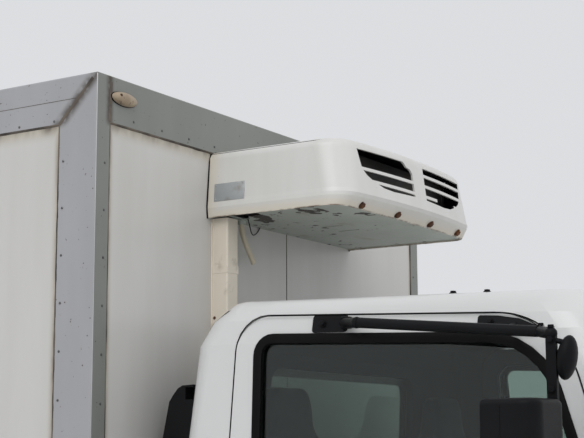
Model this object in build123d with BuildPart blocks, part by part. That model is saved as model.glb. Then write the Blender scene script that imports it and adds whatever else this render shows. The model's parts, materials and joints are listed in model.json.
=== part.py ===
"""Light refrigerated truck: a tilting cab-over cab, an insulated box and a nose-mounted cooling unit.

Millimetres. +X is forward, +Y is the truck's left, +Z is up. The origin is on the ground,
under the middle of the truck's length and width.
"""
from build123d import *
from math import cos, pi, radians, sin, tan
import os

os.makedirs("parts", exist_ok=True)

# Insulated box
box_front_x = 1215
box_length = 4300
box_half_width = 1100
box_top_z = 2951
box_floor_z = 870
panel = 80
profile_wall = 3
edge_round = 6
side_rail_height = 153
roof_rail_width = 90
post_side_leg = 154
post_front_leg = 63
bottom_rail_height = 110
rear_frame_depth = 60
rear_post = 80
rear_header = 100
rear_sill_drop = 50

# Rear doors
door_leaf = 80
door_gap = 6
leaf_top_drop = 60
leaf_bottom_gap = 12
leaf_half_slit = 4
hinge_offset = 20
hinge_edge = 30
hinge_back = 10
hinge_pin_r = 8
hinge_eye_r = 14
hinge_low_rise = 140
hinge_top_drop = 141
lock_rod_r = 13
lock_rod_stand = 34
lock_rod_from_centre = 260
lock_handle_rise = 638

# Cooling unit on the box's front wall
unit_bottom_z = box_top_z - 391
hood_wall = 7
slat_height = 11
lip_notches = (-355, -115, 137, 380)
lip_notch_width = 16
lip_notch_height = 15
duct_width = 66
duct_depth = 66
duct_y = -433
hose_r = 9.5
hose_wall_gap = 0.3

# Cab
cab_gap = 200
cab_wall = 45
glass_thickness = 6
glass_inset = 12
shut_gap = 5
cab_floor_z = 860
floor_thickness = 40
footwell_z = 760
tunnel_half_width = 330
tunnel_wall = 25
tunnel_top_z = 1170
tilt_x = 1800
tilt_z = 700
tilt_pin_r = 12
arch_radius = 500
arch_lip = 32
cab_door_hinge_x = 1672
cab_hinge_stand = 14
cab_hinge_pin_r = 6
cab_hinge_eye_r = 11

# Chassis
wheelbase = 3375
front_axle_set_back = 850
axle_z = 400
frame_half_width = 350
frame_low_z = 550
frame_high_z = 740
frame_web = 6
frame_flange = 60
frame_front_set = 1750
spring_y = 400
spring_width = 60

# Wheels
tyre_radius = 400
tyre_width = 205
rim_radius = 205
rim_thickness = 9
rim_half_width = 85
flange_radius = 221
front_track = 1650
dual_track = 1495
dual_spacing = 235
kingpin_y = 700
kingpin_r = 15
spindle_r = 20
hub_bore_r = 30
running_gap = 0.05
bead_gap = 0.3
# Tyre section from the bead to the tread: radius, distance inwards from the tyre's side
tyre_rows = ((flange_radius + 2, 18.5), (262, 3), (305, 0), (350, 3), (378, 12), (393, 23), (tyre_radius, 42))

# Places that follow from the sizes above
box_rear_x = box_front_x - box_length
frame_face_x = box_rear_x + door_leaf + door_gap
box_body_x = frame_face_x + rear_frame_depth
front_axle_x = box_front_x + front_axle_set_back
rear_axle_x = front_axle_x - wheelbase
cab_x = box_front_x
tilt_pivot_x = cab_x + tilt_x
wall_face_x = box_front_x - profile_wall
inner_half_width = box_half_width - profile_wall - panel
floor_top_z = box_floor_z + panel
ceiling_z = box_top_z - profile_wall - panel
frame_front_x = cab_x + frame_front_set
frame_rear_x = box_rear_x + 110
sides = (("right", -1), ("left", 1))


def slab(x0, x1, y0, y1, z0, z1):
    """A box between two corners, kept apart from the block that asks for it."""
    size = Box(x1 - x0, y1 - y0, z1 - z0, mode=Mode.PRIVATE)
    return Pos((x0 + x1) / 2, (y0 + y1) / 2, (z0 + z1) / 2) * size


def rod(start, end, radius):
    """A round bar between two points, kept apart from the block that asks for it."""
    way = Vector(*end) - Vector(*start)
    base = Plane(origin=start, z_dir=way)
    return base * Cylinder(radius, way.length, align=(Align.CENTER, Align.CENTER, Align.MIN),
                           mode=Mode.PRIVATE)


def left_of(part):
    """The same piece on the truck's left side."""
    return mirror(part, about=Plane.XZ, mode=Mode.PRIVATE)


def save(part, name):
    part.label = name
    export_step(part, f"parts/{name}.step")


# The box's outer skin: round-edged block, and the same block inside the thin corner profiles
def box_block(inset):
    with BuildPart() as block:
        add(slab(box_body_x, box_front_x - inset, -box_half_width + inset, box_half_width - inset,
                 box_floor_z, box_top_z - inset))
        front = block.faces().sort_by(Axis.X)[-1]
        top = block.faces().sort_by(Axis.Z)[-1]
        upright = front.edges().filter_by(Axis.Z)
        crest = top.edges().sort_by(Axis.X)[1:]
        fillet(upright + crest, edge_round - inset)
    return block.part


box_outer = box_block(0)
box_skin = box_block(profile_wall)

# Insulated panels
with BuildPart() as box_floor:
    add(box_skin)
    add(slab(box_body_x, box_front_x, -box_half_width, box_half_width, box_floor_z, floor_top_z),
        mode=Mode.INTERSECT)
save(box_floor.part, "box_floor")

with BuildPart() as box_roof:
    add(box_skin)
    add(slab(box_body_x, box_front_x, -box_half_width, box_half_width, ceiling_z, box_top_z),
        mode=Mode.INTERSECT)
save(box_roof.part, "box_roof")

with BuildPart() as box_side_walls:
    add(box_skin)
    add(slab(box_body_x, box_front_x, -box_half_width, box_half_width, floor_top_z, ceiling_z),
        mode=Mode.INTERSECT)
    add(slab(box_body_x, box_front_x, -inner_half_width, inner_half_width, floor_top_z, ceiling_z),
        mode=Mode.SUBTRACT)
save(box_side_walls.part, "box_side_walls")

front_wall_inner_x = wall_face_x - panel
with BuildPart() as box_front_wall:
    add(slab(front_wall_inner_x, wall_face_x, -inner_half_width, inner_half_width,
             floor_top_z, ceiling_z))
save(box_front_wall.part, "box_front_wall")

# Aluminium corner profiles: the skin's outer layer, with a window cut through each face
with BuildPart() as box_profiles:
    add(box_outer)
    add(box_skin, mode=Mode.SUBTRACT)
    side_x0 = box_body_x
    side_x1 = box_front_x - post_side_leg
    side_z0 = box_floor_z + bottom_rail_height
    side_z1 = box_top_z - side_rail_height
    add(slab(side_x0, side_x1, -box_half_width - 1, box_half_width + 1, side_z0, side_z1),
        mode=Mode.SUBTRACT)
    add(slab(box_front_x - post_side_leg, box_front_x + 1, -box_half_width + post_front_leg,
             box_half_width - post_front_leg, side_z0, side_z1), mode=Mode.SUBTRACT)
    add(slab(side_x0, box_front_x - roof_rail_width, -box_half_width + roof_rail_width,
             box_half_width - roof_rail_width, side_z1, box_top_z + 1), mode=Mode.SUBTRACT)
save(box_profiles.part, "box_profiles")

# Rear portal: posts, header and a deep sill that the lamps hang from
sill_z = box_floor_z - rear_sill_drop
leaf_top_z = box_top_z - leaf_top_drop
leaf_bottom_z = box_floor_z + leaf_bottom_gap
hinge_x = box_rear_x - hinge_back
hinge_y = box_half_width + hinge_offset
lug_length = door_leaf + door_gap + hinge_back + rear_frame_depth
lug_height = 34
keeper_z = ((leaf_top_z + 14, 12), (leaf_bottom_z - 26, 12))
hinge_low_z = box_floor_z + hinge_low_rise
hinge_step = (box_top_z - hinge_top_drop - hinge_low_z) / 3
hinge_heights = [hinge_low_z + row * hinge_step for row in range(4)]
with BuildPart() as rear_frame:
    with BuildSketch(Plane(origin=(frame_face_x, 0, 0), x_dir=(0, 1, 0), z_dir=(1, 0, 0))):
        with Locations((0, (sill_z + box_top_z) / 2)):
            Rectangle(2 * box_half_width, box_top_z - sill_z)
        with Locations((0, (floor_top_z + box_top_z - rear_header) / 2)):
            Rectangle(2 * (box_half_width - rear_post), box_top_z - rear_header - floor_top_z,
                      mode=Mode.SUBTRACT)
    extrude(amount=rear_frame_depth)
    for side_name, side in sides:
        for height in hinge_heights:
            # A lug beside the post carries the hinge pin, and the door's strap turns on it
            lug_y = sorted((side * box_half_width, side * (hinge_y + 5)))
            add(slab(hinge_x, hinge_x + lug_length, lug_y[0], lug_y[1], height - lug_height, height))
            add(rod((hinge_x, side * hinge_y, height - lug_height), (hinge_x, side * hinge_y, height),
                    hinge_eye_r))
            add(rod((hinge_x, side * hinge_y, height - lug_height),
                    (hinge_x, side * hinge_y, height + lug_height + 4), hinge_pin_r))
        for low_z, thickness in keeper_z:
            # A keeper plate above and below each lock rod
            keeper_y = side * lock_rod_from_centre
            add(slab(box_rear_x - lock_rod_stand - 20, frame_face_x, keeper_y - 30, keeper_y + 30,
                     low_z, low_z + thickness))
save(rear_frame.part, "rear_frame")

# Evaporator under the ceiling, behind the front wall
evaporator_depth = 460
evaporator_drop = 190
evaporator_half_width = 520
with BuildPart() as evaporator:
    with BuildSketch(Plane.XZ.offset(-evaporator_half_width)):
        with BuildLine():
            Polyline((front_wall_inner_x, ceiling_z),
                     (front_wall_inner_x, ceiling_z - evaporator_drop * 0.75),
                     (front_wall_inner_x - 60, ceiling_z - evaporator_drop),
                     (front_wall_inner_x - evaporator_depth * 0.6, ceiling_z - evaporator_drop),
                     (front_wall_inner_x - evaporator_depth, ceiling_z - evaporator_drop * 0.4),
                     (front_wall_inner_x - evaporator_depth, ceiling_z), close=True)
        make_face()
    extrude(amount=2 * evaporator_half_width)
    fan_x = front_wall_inner_x - evaporator_depth * 0.33
    with BuildSketch(Plane.XY.offset(ceiling_z - evaporator_drop)):
        with Locations((fan_x, -240), (fan_x, 240)):
            Circle(125)
    extrude(amount=40, mode=Mode.SUBTRACT)
save(evaporator.part, "evaporator")

# Cooling unit's hood. Levels above its lower edge: height, depth, half width, corner radius, bow
hood_levels = (
    (0, 530, 495, 62, 8),
    (34, 549, 499, 84, 34),
    (46, 554, 498, 92, 38),
    (60, 552, 496, 98, 38),
    (205, 528, 486, 112, 42),
    (238, 519, 482, 112, 42),
)
hood_top_round = 34
hood_height = hood_levels[-1][0]


def hood_outline(depth, half_width, corner_r, bow, inset):
    """Plan outline at one level: straight sides from the wall, round corners, bowed front."""
    back_x = wall_face_x
    front_x = wall_face_x + depth - inset
    half = half_width - inset
    with BuildSketch() as outline:
        with BuildLine():
            Polyline((front_x, -half), (back_x, -half), (back_x, half), (front_x, half))
            ThreePointArc((front_x, half), (front_x + bow, 0), (front_x, -half))
        make_face()
        fillet(outline.vertices().group_by(Axis.X)[-1], corner_r - inset)
    return outline.sketch


def hood_form(inset):
    """The hood's outer or inner surface as a solid, from its table of levels."""
    low = unit_bottom_z if inset == 0 else unit_bottom_z - 5
    with BuildPart() as form:
        for height, depth, half_width, corner_r, bow in hood_levels:
            z = unit_bottom_z + height - (inset if height == hood_height else 0)
            z = low if height == 0 else z
            with BuildSketch(Plane.XY.offset(z)):
                add(hood_outline(depth, half_width, corner_r, bow, inset))
        loft(ruled=True)
        if inset == 0:
            crest = form.faces().sort_by(Axis.Z)[-1].edges().sort_by(Axis.X)[1:]
            fillet(crest, hood_top_round)
    return form.part


# Grille openings beside the middle bar: distance from the middle, height above the lower edge
opening_corners = ((44, 84), (196, 79), (258, 83), (318, 99), (354, 116), (376, 136), (390, 204), (44, 204))
# The right opening's upper inner corner, where the broken slat's root is left
broken_corner = ((44, 166), (52, 177), (63, 184), (82, 186), (94, 197), (106, 204), (44, 204))
# Slats: side, height of the lower edge, from and to across. One slat is gone and one is two stubs
slat_rows = (
    ("right", 92, 0, 400),
    ("right", 131, 0, 400),
    ("left", 92, 0, 138),
    ("left", 92, 300, 400),
    ("left", 131, 0, 400),
    ("left", 170, 0, 400),
)
with BuildPart() as grille_slots:
    for side_name, side in sides:
        with BuildSketch(Plane(origin=(wall_face_x + 400, 0, unit_bottom_z), x_dir=(0, 1, 0),
                               z_dir=(1, 0, 0))):
            with BuildLine():
                Polyline([(side * across, height) for across, height in opening_corners], close=True)
            make_face()
            for slat_side, low, slat_from, slat_to in slat_rows:
                if slat_side == side_name:
                    with Locations((side * (slat_from + slat_to) / 2, low + slat_height / 2)):
                        Rectangle(slat_to - slat_from, slat_height, mode=Mode.SUBTRACT)
            if side_name == "right":
                with BuildLine():
                    Polyline([(side * across, height) for across, height in broken_corner], close=True)
                make_face(mode=Mode.SUBTRACT)
        extrude(amount=250)

with BuildPart() as unit_hood:
    add(hood_form(0))
    add(hood_form(hood_wall), mode=Mode.SUBTRACT)
    add(grille_slots.part, mode=Mode.SUBTRACT)
    # Open notches in the lower lip for the screws into the floor's flange
    for across in lip_notches:
        add(slab(wall_face_x + 480, wall_face_x + 620, across - lip_notch_width / 2,
                 across + lip_notch_width / 2, unit_bottom_z - 1, unit_bottom_z + lip_notch_height),
            mode=Mode.SUBTRACT)
save(unit_hood.part, "unit_hood")

# Sheet-metal floor of the unit, inside the hood's lower edge, with the way out for pipes
base_z = unit_bottom_z + 6
base_sheet = 4
pipe_hole = ((66, -472), (178, -472), (178, -424), (116, -410), (90, -362), (66, -362))
spigot_r = 14
spigot_drop = 12
hose_away = 38
hose_y = -338
with BuildPart() as unit_base:
    with BuildSketch(Plane.XY.offset(base_z)):
        height, depth, half_width, corner_r, bow = hood_levels[0]
        add(hood_outline(depth, half_width, corner_r, bow, hood_wall + 1))
        with BuildLine():
            Polyline([(wall_face_x + away, across) for away, across in pipe_hole], close=True)
        make_face(mode=Mode.SUBTRACT)
        with Locations((wall_face_x + 250, -60), (wall_face_x + 250, 60)):
            SlotOverall(90, 12, mode=Mode.SUBTRACT)
    extrude(amount=base_sheet)
    with BuildSketch(Plane.XY.offset(base_z)):
        with Locations((wall_face_x + hose_away, hose_y)):
            Circle(spigot_r)
            Circle(hose_r + hose_wall_gap, mode=Mode.SUBTRACT)
    extrude(amount=-spigot_drop)
save(unit_base.part, "unit_base")

# Condenser behind the grille: core with end tanks, standing on the unit's floor
coil_x = wall_face_x + 470
coil_depth = 36
coil_half_width = 400
with BuildPart() as condenser_coil:
    coil_low = base_z + base_sheet
    coil_high = unit_bottom_z + 214
    add(slab(coil_x - coil_depth, coil_x, -coil_half_width, coil_half_width, coil_low, coil_high))
    for side_name, side in sides:
        tank_y = sorted((side * coil_half_width, side * (coil_half_width + 18)))
        add(slab(coil_x - coil_depth - 6, coil_x + 4, tank_y[0], tank_y[1], coil_low, coil_high))
save(condenser_coil.part, "condenser_coil")

# Trunking for pipes, down the front wall
duct_bottom_z = floor_top_z + 60
with BuildPart() as hose_duct:
    add(slab(wall_face_x, wall_face_x + duct_depth, duct_y - duct_width / 2, duct_y + duct_width / 2,
             duct_bottom_z, unit_bottom_z))
    fillet(hose_duct.faces().sort_by(Axis.X)[-1].edges().filter_by(Axis.Z), 6)
save(hose_duct.part, "hose_duct")

# Drain hose: hand-placed points from the spigot down to its cut end
hose_points = ((wall_face_x + hose_away, hose_y, base_z), (wall_face_x + hose_away, hose_y, base_z - 34),
               (wall_face_x + 44, -320, base_z - 84), (wall_face_x + 54, -282, base_z - 148))


def bend_radii(points):
    """One radius for each inner point: 0.45 of the shorter run over the tangent of half the turn."""
    radii = []
    for before, here, after in zip(points, points[1:], points[2:]):
        run_in = Vector(*here) - Vector(*before)
        run_out = Vector(*after) - Vector(*here)
        turn = run_in.get_angle(run_out)
        radii.append(0.45 * min(run_in.length, run_out.length) / tan(radians(turn) / 2))
    return radii


hose_radii = bend_radii(hose_points)
print("drain hose bend radii", [round(radius) for radius in hose_radii])
with BuildPart() as drain_hose:
    with BuildLine() as hose_route:
        FilletPolyline(*hose_points, radius=hose_radii)
    with BuildSketch(Plane(origin=hose_points[0], z_dir=hose_route.line % 0)):
        Circle(hose_r)
    sweep()
hose_length = sum(edge.length for edge in hose_route.edges())
print("drain hose volume over section times length",
      round(drain_hose.part.volume / (pi * hose_r ** 2 * hose_length), 3))
save(drain_hose.part, "drain_hose")

# Marker lamps on the front rail, one near each post
lamp_z = box_top_z - 67
lamp_y = 970
lamp_half_length = 65
lamp_half_height = 24
with BuildPart() as marker_lamps:
    for side_name, side in sides:
        with BuildSketch(Plane(origin=(box_front_x, side * lamp_y, lamp_z), x_dir=(0, 1, 0),
                               z_dir=(1, 0, 0))):
            Ellipse(lamp_half_length, lamp_half_height)
        extrude(amount=26, taper=22)
save(marker_lamps.part, "marker_lamps")

# Cab levels: height, back, front, half width, rear corner radius, front corner radius, bow,
# and the degrees by which the level falls towards the front
cab_levels = (
    (720, 0, 1645, 950, 60, 150, 35, 0),
    (1000, 0, 1655, 985, 60, 160, 40, 0),
    (1400, 0, 1630, 985, 60, 165, 45, 0),
    (2075, 34, 1398, 908, 75, 170, 45, 0),
    (2145, 68, 1366, 893, 90, 175, 45, 1.4),
    (2212, 124, 1312, 862, 120, 185, 45, 1.4),
)
roof_fall_x = cab_x + 500
roof_round = 80
cab_bottom_z = cab_levels[0][0]
cab_top_z = cab_levels[-1][0]


def cab_outline(row, inset):
    """Plan outline of the cab at one level."""
    height, back, front, half_width, rear_r, front_r, bow, fall = row
    back_x = cab_x + cab_gap + back + inset
    front_x = cab_x + cab_gap + front - inset
    half = half_width - inset
    with BuildSketch() as outline:
        with BuildLine():
            Polyline((front_x, -half), (back_x, -half), (back_x, half), (front_x, half))
            ThreePointArc((front_x, half), (front_x + bow, 0), (front_x, -half))
        make_face()
        fillet(outline.vertices().group_by(Axis.X)[0], rear_r - min(inset, 40))
        fillet(outline.vertices().group_by(Axis.X)[-1], front_r - inset)
    return outline.sketch


def cab_form(inset):
    """The cab's outer or inner surface as a solid, from its table of levels."""
    with BuildPart() as form:
        for row in cab_levels:
            z = row[0]
            z = z - 10 if inset > 0 and z == cab_bottom_z else z
            z = z - inset if z == cab_top_z else z
            with BuildSketch(Plane(origin=(roof_fall_x, 0, z)).rotated((0, row[-1], 0))):
                with Locations((-roof_fall_x, 0)):
                    add(cab_outline(row, inset))
        loft(ruled=True)
        if inset <= 0:
            crest = form.faces().sort_by(Axis.Z)[-1].edges()
            fillet(crest, roof_round - inset)
    return form.part


def side_y(height):
    """The cab's half width at a height, from its table of levels."""
    for low, high in zip(cab_levels, cab_levels[1:]):
        if low[0] <= height <= high[0]:
            share = (height - low[0]) / (high[0] - low[0])
            return low[3] + share * (high[3] - low[3])


cab_outer = cab_form(0)
cab_inner = cab_form(cab_wall)

with BuildPart() as cab_skin:
    add(cab_outer)
    add(cab_inner, mode=Mode.SUBTRACT)
    # Front wheel arches
    with BuildSketch(Plane.XZ):
        with Locations((front_axle_x, axle_z)):
            Circle(arch_radius)
    extrude(amount=1200, both=True, mode=Mode.SUBTRACT)
    # Room for the ladder frame under the back wall
    add(slab(cab_x + cab_gap - 10, cab_x + cab_gap + cab_wall + 10, -frame_half_width - 80,
             frame_half_width + 80, cab_bottom_z - 1, frame_high_z + 35), mode=Mode.SUBTRACT)

with BuildPart() as glass_skin:
    add(cab_form(glass_inset))
    add(cab_form(glass_inset + glass_thickness), mode=Mode.SUBTRACT)

# Door outline in the side view: distance ahead of the box, height, corner radius
door_corners = ((398, 860, 30), (403, 2166, 110), (1444, 2122, 270), (1652, 1490, 110), (1640, 750, 30))
# Window outline: follows the door's upper frame
window_corners = ((508, 1420, 40), (474, 2094, 58), (1396, 2058, 225), (1620, 1420, 40))


def side_outline(corners):
    """A closed face in the side view, its corners rounded."""
    with BuildSketch() as face:
        with BuildLine():
            Polyline([(cab_x + ahead, height) for ahead, height, round_r in corners], close=True)
        make_face()
        for ahead, height, round_r in corners:
            spot = face.vertices().sort_by_distance((cab_x + ahead, height, 0))[0]
            fillet(spot, round_r)
    return face.sketch


def side_prism(corners, shrink):
    """The side outline as a prism that reaches from inside the cab past its right side."""
    with BuildPart() as prism:
        with BuildSketch(Plane.XZ.offset(600)):
            add(side_outline(corners))
            if shrink > 0:
                offset(amount=-shrink, kind=Kind.INTERSECTION)
        extrude(amount=500)
    return prism.part


with BuildPart() as wheel_opening:
    with BuildSketch(Plane.XZ.offset(600)):
        with Locations((front_axle_x, axle_z)):
            Circle(arch_radius + arch_lip)
    extrude(amount=500)
with BuildPart() as wheel_opening_door:
    with BuildSketch(Plane.XZ.offset(600)):
        with Locations((front_axle_x, axle_z)):
            Circle(arch_radius + arch_lip + shut_gap)
    extrude(amount=500)

with BuildPart() as door_opening:
    add(side_prism(door_corners, 0))
    add(wheel_opening.part, mode=Mode.SUBTRACT)
with BuildPart() as door_block:
    add(side_prism(door_corners, shut_gap))
    add(wheel_opening_door.part, mode=Mode.SUBTRACT)
window_block = side_prism(window_corners, 0)

# Windscreen and rear window as prisms along the truck: half width, low and high edge, corner radius
windscreen_size = (850, 1440, 2070, 90)
rear_window_size = (510, 1500, 2030, 60)


def window_prism(size, x0, x1):
    half_width, low, high, round_r = size
    with BuildPart() as prism:
        with BuildSketch(Plane(origin=(x0, 0, (low + high) / 2), x_dir=(0, 1, 0), z_dir=(1, 0, 0))):
            RectangleRounded(2 * half_width, high - low, round_r)
        extrude(amount=x1 - x0)
    return prism.part


cab_mid_x = cab_x + 900
windscreen_block = window_prism(windscreen_size, cab_mid_x, cab_mid_x + 1100)
rear_window_block = window_prism(rear_window_size, cab_x + 100, cab_mid_x)

# Lamps and grille in the front panel: middle across, middle height, width, height, corner radius
headlamp_size = (730, 905, 250, 150, 30)
grille_size = (0, 905, 1020, 130, 30)
grille_slot_rows = (-36, 0, 36)
grille_slot_height = 18


def front_prism(size, side):
    across, middle_z, width, height, round_r = size
    with BuildPart() as prism:
        with BuildSketch(Plane(origin=(cab_mid_x, side * across, middle_z), x_dir=(0, 1, 0),
                               z_dir=(1, 0, 0))):
            RectangleRounded(width, height, round_r)
        extrude(amount=1100)
    return prism.part


with BuildPart() as headlamps:
    add(cab_skin.part)
    add(front_prism(headlamp_size, -1) + front_prism(headlamp_size, 1), mode=Mode.INTERSECT)
save(headlamps.part, "headlamps")

with BuildPart() as grille:
    add(cab_skin.part)
    add(front_prism(grille_size, 1), mode=Mode.INTERSECT)
    with BuildSketch(Plane(origin=(cab_mid_x, 0, grille_size[1]), x_dir=(0, 1, 0), z_dir=(1, 0, 0))):
        for across in (-245, 245):
            for height in grille_slot_rows:
                with Locations((across, height)):
                    Rectangle(430, grille_slot_height)
    extrude(amount=1100, mode=Mode.SUBTRACT)
save(grille.part, "grille")

# Cab door hinges: pin height, on the flat part of the side
cab_hinge_heights = (1040, 1330)
cab_hinge_x = cab_x + cab_door_hinge_x
cab_side_y = cab_levels[1][3]
cab_hinge_y = cab_side_y + cab_hinge_stand
cab_hinge_leaf = 34
grip_z = 1300
grip_from = 440
grip_to = 570
grip_stand = 24
grip_cup = 22
cab_hinge_height = 30

with BuildPart() as right_hinges_fixed:
    for height in cab_hinge_heights:
        add(slab(cab_hinge_x, cab_hinge_x + cab_hinge_leaf, -cab_hinge_y - 4, -cab_side_y,
                 height - cab_hinge_height, height))
        add(rod((cab_hinge_x, -cab_hinge_y, height - cab_hinge_height),
                (cab_hinge_x, -cab_hinge_y, height), cab_hinge_eye_r))
        add(rod((cab_hinge_x, -cab_hinge_y, height - cab_hinge_height),
                (cab_hinge_x, -cab_hinge_y, height + cab_hinge_height + 3), cab_hinge_pin_r))

with BuildPart() as cab_shell:
    add(cab_skin.part)
    for opening in (door_opening.part, left_of(door_opening.part), windscreen_block,
                    rear_window_block, front_prism(headlamp_size, -1),
                    front_prism(headlamp_size, 1), front_prism(grille_size, 1)):
        add(opening, mode=Mode.SUBTRACT)
    add(right_hinges_fixed.part)
    add(left_of(right_hinges_fixed.part))
save(cab_shell.part, "cab_shell")

with BuildPart() as cab_glass:
    add(glass_skin.part)
    add(windscreen_block + rear_window_block, mode=Mode.INTERSECT)
save(cab_glass.part, "cab_glass")

# Cab doors, with their glass and mirrors
mirror_arm_r = 15
mirror_knuckle_r = 16.5
mirror_plate = 8
mirror_y = -1195
mirror_half = 100
mirror_back = cab_x + 1390
mirror_front = cab_x + 1532
mirror_low_z = 1530
mirror_top_z = 1880
close_mirror_r = 22
close_mirror_half = 68
close_mirror_lean = 10
# Bracket plates in the side view: distance ahead of the box, height, corner radius
mirror_brackets = (
    ((676, 2098, 9), (676, 2151, 9), (790, 2147, 9), (793, 2096, 9)),
    ((1208, 2074, 6), (1208, 2122, 8), (1268, 2118, 20), (1330, 2107, 30), (1388, 2082, 6),
     (1376, 2062, 6), (1300, 2070, 20)),
)
with BuildPart() as right_door:
    add(cab_skin.part)
    add(door_block.part, mode=Mode.INTERSECT)
    add(window_block, mode=Mode.SUBTRACT)
    for height in cab_hinge_heights:
        low = height + 2
        add(slab(cab_hinge_x - cab_hinge_leaf, cab_hinge_x, -cab_hinge_y - 4, -cab_side_y,
                 low, low + cab_hinge_height))
        add(rod((cab_hinge_x, -cab_hinge_y, low), (cab_hinge_x, -cab_hinge_y, low + cab_hinge_height),
                cab_hinge_eye_r))
        add(rod((cab_hinge_x, -cab_hinge_y, low), (cab_hinge_x, -cab_hinge_y, low + cab_hinge_height),
                cab_hinge_pin_r + running_gap), mode=Mode.SUBTRACT)

    # A cup for the fingers near the door's rear edge, and the grip that bridges it
    grip_y = -side_y(grip_z)
    add(slab(cab_x + grip_from, cab_x + grip_to, grip_y - 1, grip_y + grip_cup, grip_z - 24, grip_z + 24),
        mode=Mode.SUBTRACT)
    add(slab(cab_x + grip_from - 14, cab_x + grip_to + 14, grip_y - grip_stand, grip_y + 5, grip_z - 13,
             grip_z + 13))
    add(slab(cab_x + grip_from, cab_x + grip_to, grip_y - grip_stand + 12, grip_y + grip_cup,
             grip_z - 14, grip_z + 14), mode=Mode.SUBTRACT)

with BuildPart() as right_door_glass:
    add(glass_skin.part)
    add(window_block, mode=Mode.INTERSECT)

with BuildPart() as mirror_head:
    add(slab(mirror_back, mirror_front, mirror_y - mirror_half, mirror_y + mirror_half, mirror_low_z,
             mirror_top_z))
    fillet(mirror_head.edges().filter_by(Axis.Z).group_by(Axis.X)[-1], 45)
    fillet(mirror_head.faces().sort_by(Axis.Z)[-1].edges(), 16)

with BuildPart() as close_mirror:
    with BuildSketch(Plane.XZ):
        Ellipse(close_mirror_r, close_mirror_half)
        with Locations((-close_mirror_r, 0)):
            Rectangle(2 * close_mirror_r, 3 * close_mirror_half, mode=Mode.SUBTRACT)
    revolve(axis=Axis.Z)

bracket_skin = cab_form(-mirror_plate) - cab_outer
with BuildPart() as right_mirror:
    # Bracket plates seated on the door's upper frame
    arm_y = -1000
    for bracket in mirror_brackets:
        add(side_prism(bracket, 0) & bracket_skin)
    # Arm along the door's top, a link outwards and a flat upright that holds the mirror head
    collar = (cab_x + 880, arm_y, 2111)
    elbow = (cab_x + 1428, arm_y, 2060)
    knee = (cab_x + 1497, mirror_y + mirror_half - 4, 2045)
    add(rod((cab_x + 790, -912, 2121), collar, mirror_arm_r))
    add(rod(collar, elbow, mirror_arm_r))
    add(rod(elbow, knee, mirror_arm_r))
    for joint in (collar, elbow, knee):
        add(Pos(*joint) * Sphere(mirror_knuckle_r, mode=Mode.PRIVATE))
    add(rod((cab_x + 1320, -912, 2088), (cab_x + 1330, arm_y, 2069), 9))
    add(slab(cab_x + 1484, cab_x + 1511, mirror_y + mirror_half - 11, mirror_y + mirror_half + 3, 1850,
             2052))
    close_spot = (cab_x + 1541, mirror_y + 105, 1995)
    add(rod((cab_x + 1500, mirror_y + mirror_half - 4, 2030), (cab_x + 1541, mirror_y + 105, 2018), 7))
    add(mirror_head.part)
    add(Pos(*close_spot) * Rot(0, close_mirror_lean, 0) * close_mirror.part)

for side_name, side in sides:
    for piece, name in ((right_door.part, "cab_door"), (right_door_glass.part, "door_glass"),
                        (right_mirror.part, "mirror")):
        save(piece if side < 0 else left_of(piece), f"{name}_{side_name}")

# Cab floor: rear platform with the engine tunnel, riser and front footwell
platform_x0 = cab_x + cab_gap + 20
platform_x1 = cab_x + 1300
footwell_x1 = cab_x + 1900
floor_clearance = 8
cab_lug_half = 13
with BuildPart() as cab_floor:
    add(slab(platform_x0, platform_x1, -1000, 1000, cab_floor_z, cab_floor_z + floor_thickness))
    add(slab(platform_x1 - 40, platform_x1, -1000, 1000, footwell_z, cab_floor_z + floor_thickness))
    add(slab(platform_x1 - 40, footwell_x1, -1000, 1000, footwell_z, footwell_z + floor_thickness))
    add(slab(platform_x0, platform_x1, -tunnel_half_width, tunnel_half_width, cab_floor_z,
             tunnel_top_z))
    add(slab(platform_x0 - 50, platform_x1 - tunnel_wall, -tunnel_half_width + tunnel_wall,
             tunnel_half_width - tunnel_wall, footwell_z - 50, tunnel_top_z - tunnel_wall),
        mode=Mode.SUBTRACT)
    add(cab_inner, mode=Mode.INTERSECT)
    for side_name, side in sides:
        # Room for the door beside the floor
        door_y = sorted((side * (cab_levels[0][3] - cab_wall - floor_clearance - 12), side * 1000))
        add(slab(cab_x + 350, cab_x + 1660, door_y[0], door_y[1], footwell_z - 1, tunnel_top_z),
            mode=Mode.SUBTRACT)
        # Tilt lugs under the footwell
        lug_y = sorted((side * (frame_half_width + 25), side * (frame_half_width + 50)))
        add(slab(tilt_pivot_x - 26, tilt_pivot_x + 26, lug_y[0], lug_y[1], tilt_z,
                 footwell_z + 5))
        add(rod((tilt_pivot_x, lug_y[0], tilt_z), (tilt_pivot_x, lug_y[1], tilt_z), 26))
        add(rod((tilt_pivot_x, lug_y[0], tilt_z), (tilt_pivot_x, lug_y[1], tilt_z),
                tilt_pin_r + running_gap), mode=Mode.SUBTRACT)
save(cab_floor.part, "cab_floor")

# Seats: one row of sizes for each seat's middle line
seat_top_z = 1225
seat_base_z = cab_floor_z + floor_thickness
seat_middles = (-570, 570)
seat_half_width = 240
with BuildPart() as one_seat:
    add(slab(cab_x + 420, cab_x + 900, -seat_half_width, seat_half_width, seat_top_z - 150, seat_top_z))
    fillet(one_seat.faces().sort_by(Axis.Z)[-1].edges(), 30)
    with BuildSketch(Plane.XZ.offset(-seat_half_width)):
        with BuildLine():
            Polyline((cab_x + 300, seat_top_z - 100), (cab_x + 412, seat_top_z - 100),
                     (cab_x + 398, 1840), (cab_x + 318, 1850), close=True)
        make_face()
    extrude(amount=2 * seat_half_width)
    add(slab(cab_x + 325, cab_x + 405, -130, 130, 1870, 1990))
    for across in (-60, 60):
        add(rod((cab_x + 362, across, 1835), (cab_x + 362, across, 1875), 6))

with BuildPart() as seats:
    for middle in seat_middles:
        add(Pos(0, middle, 0) * one_seat.part)
save(seats.part, "seats")

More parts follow.
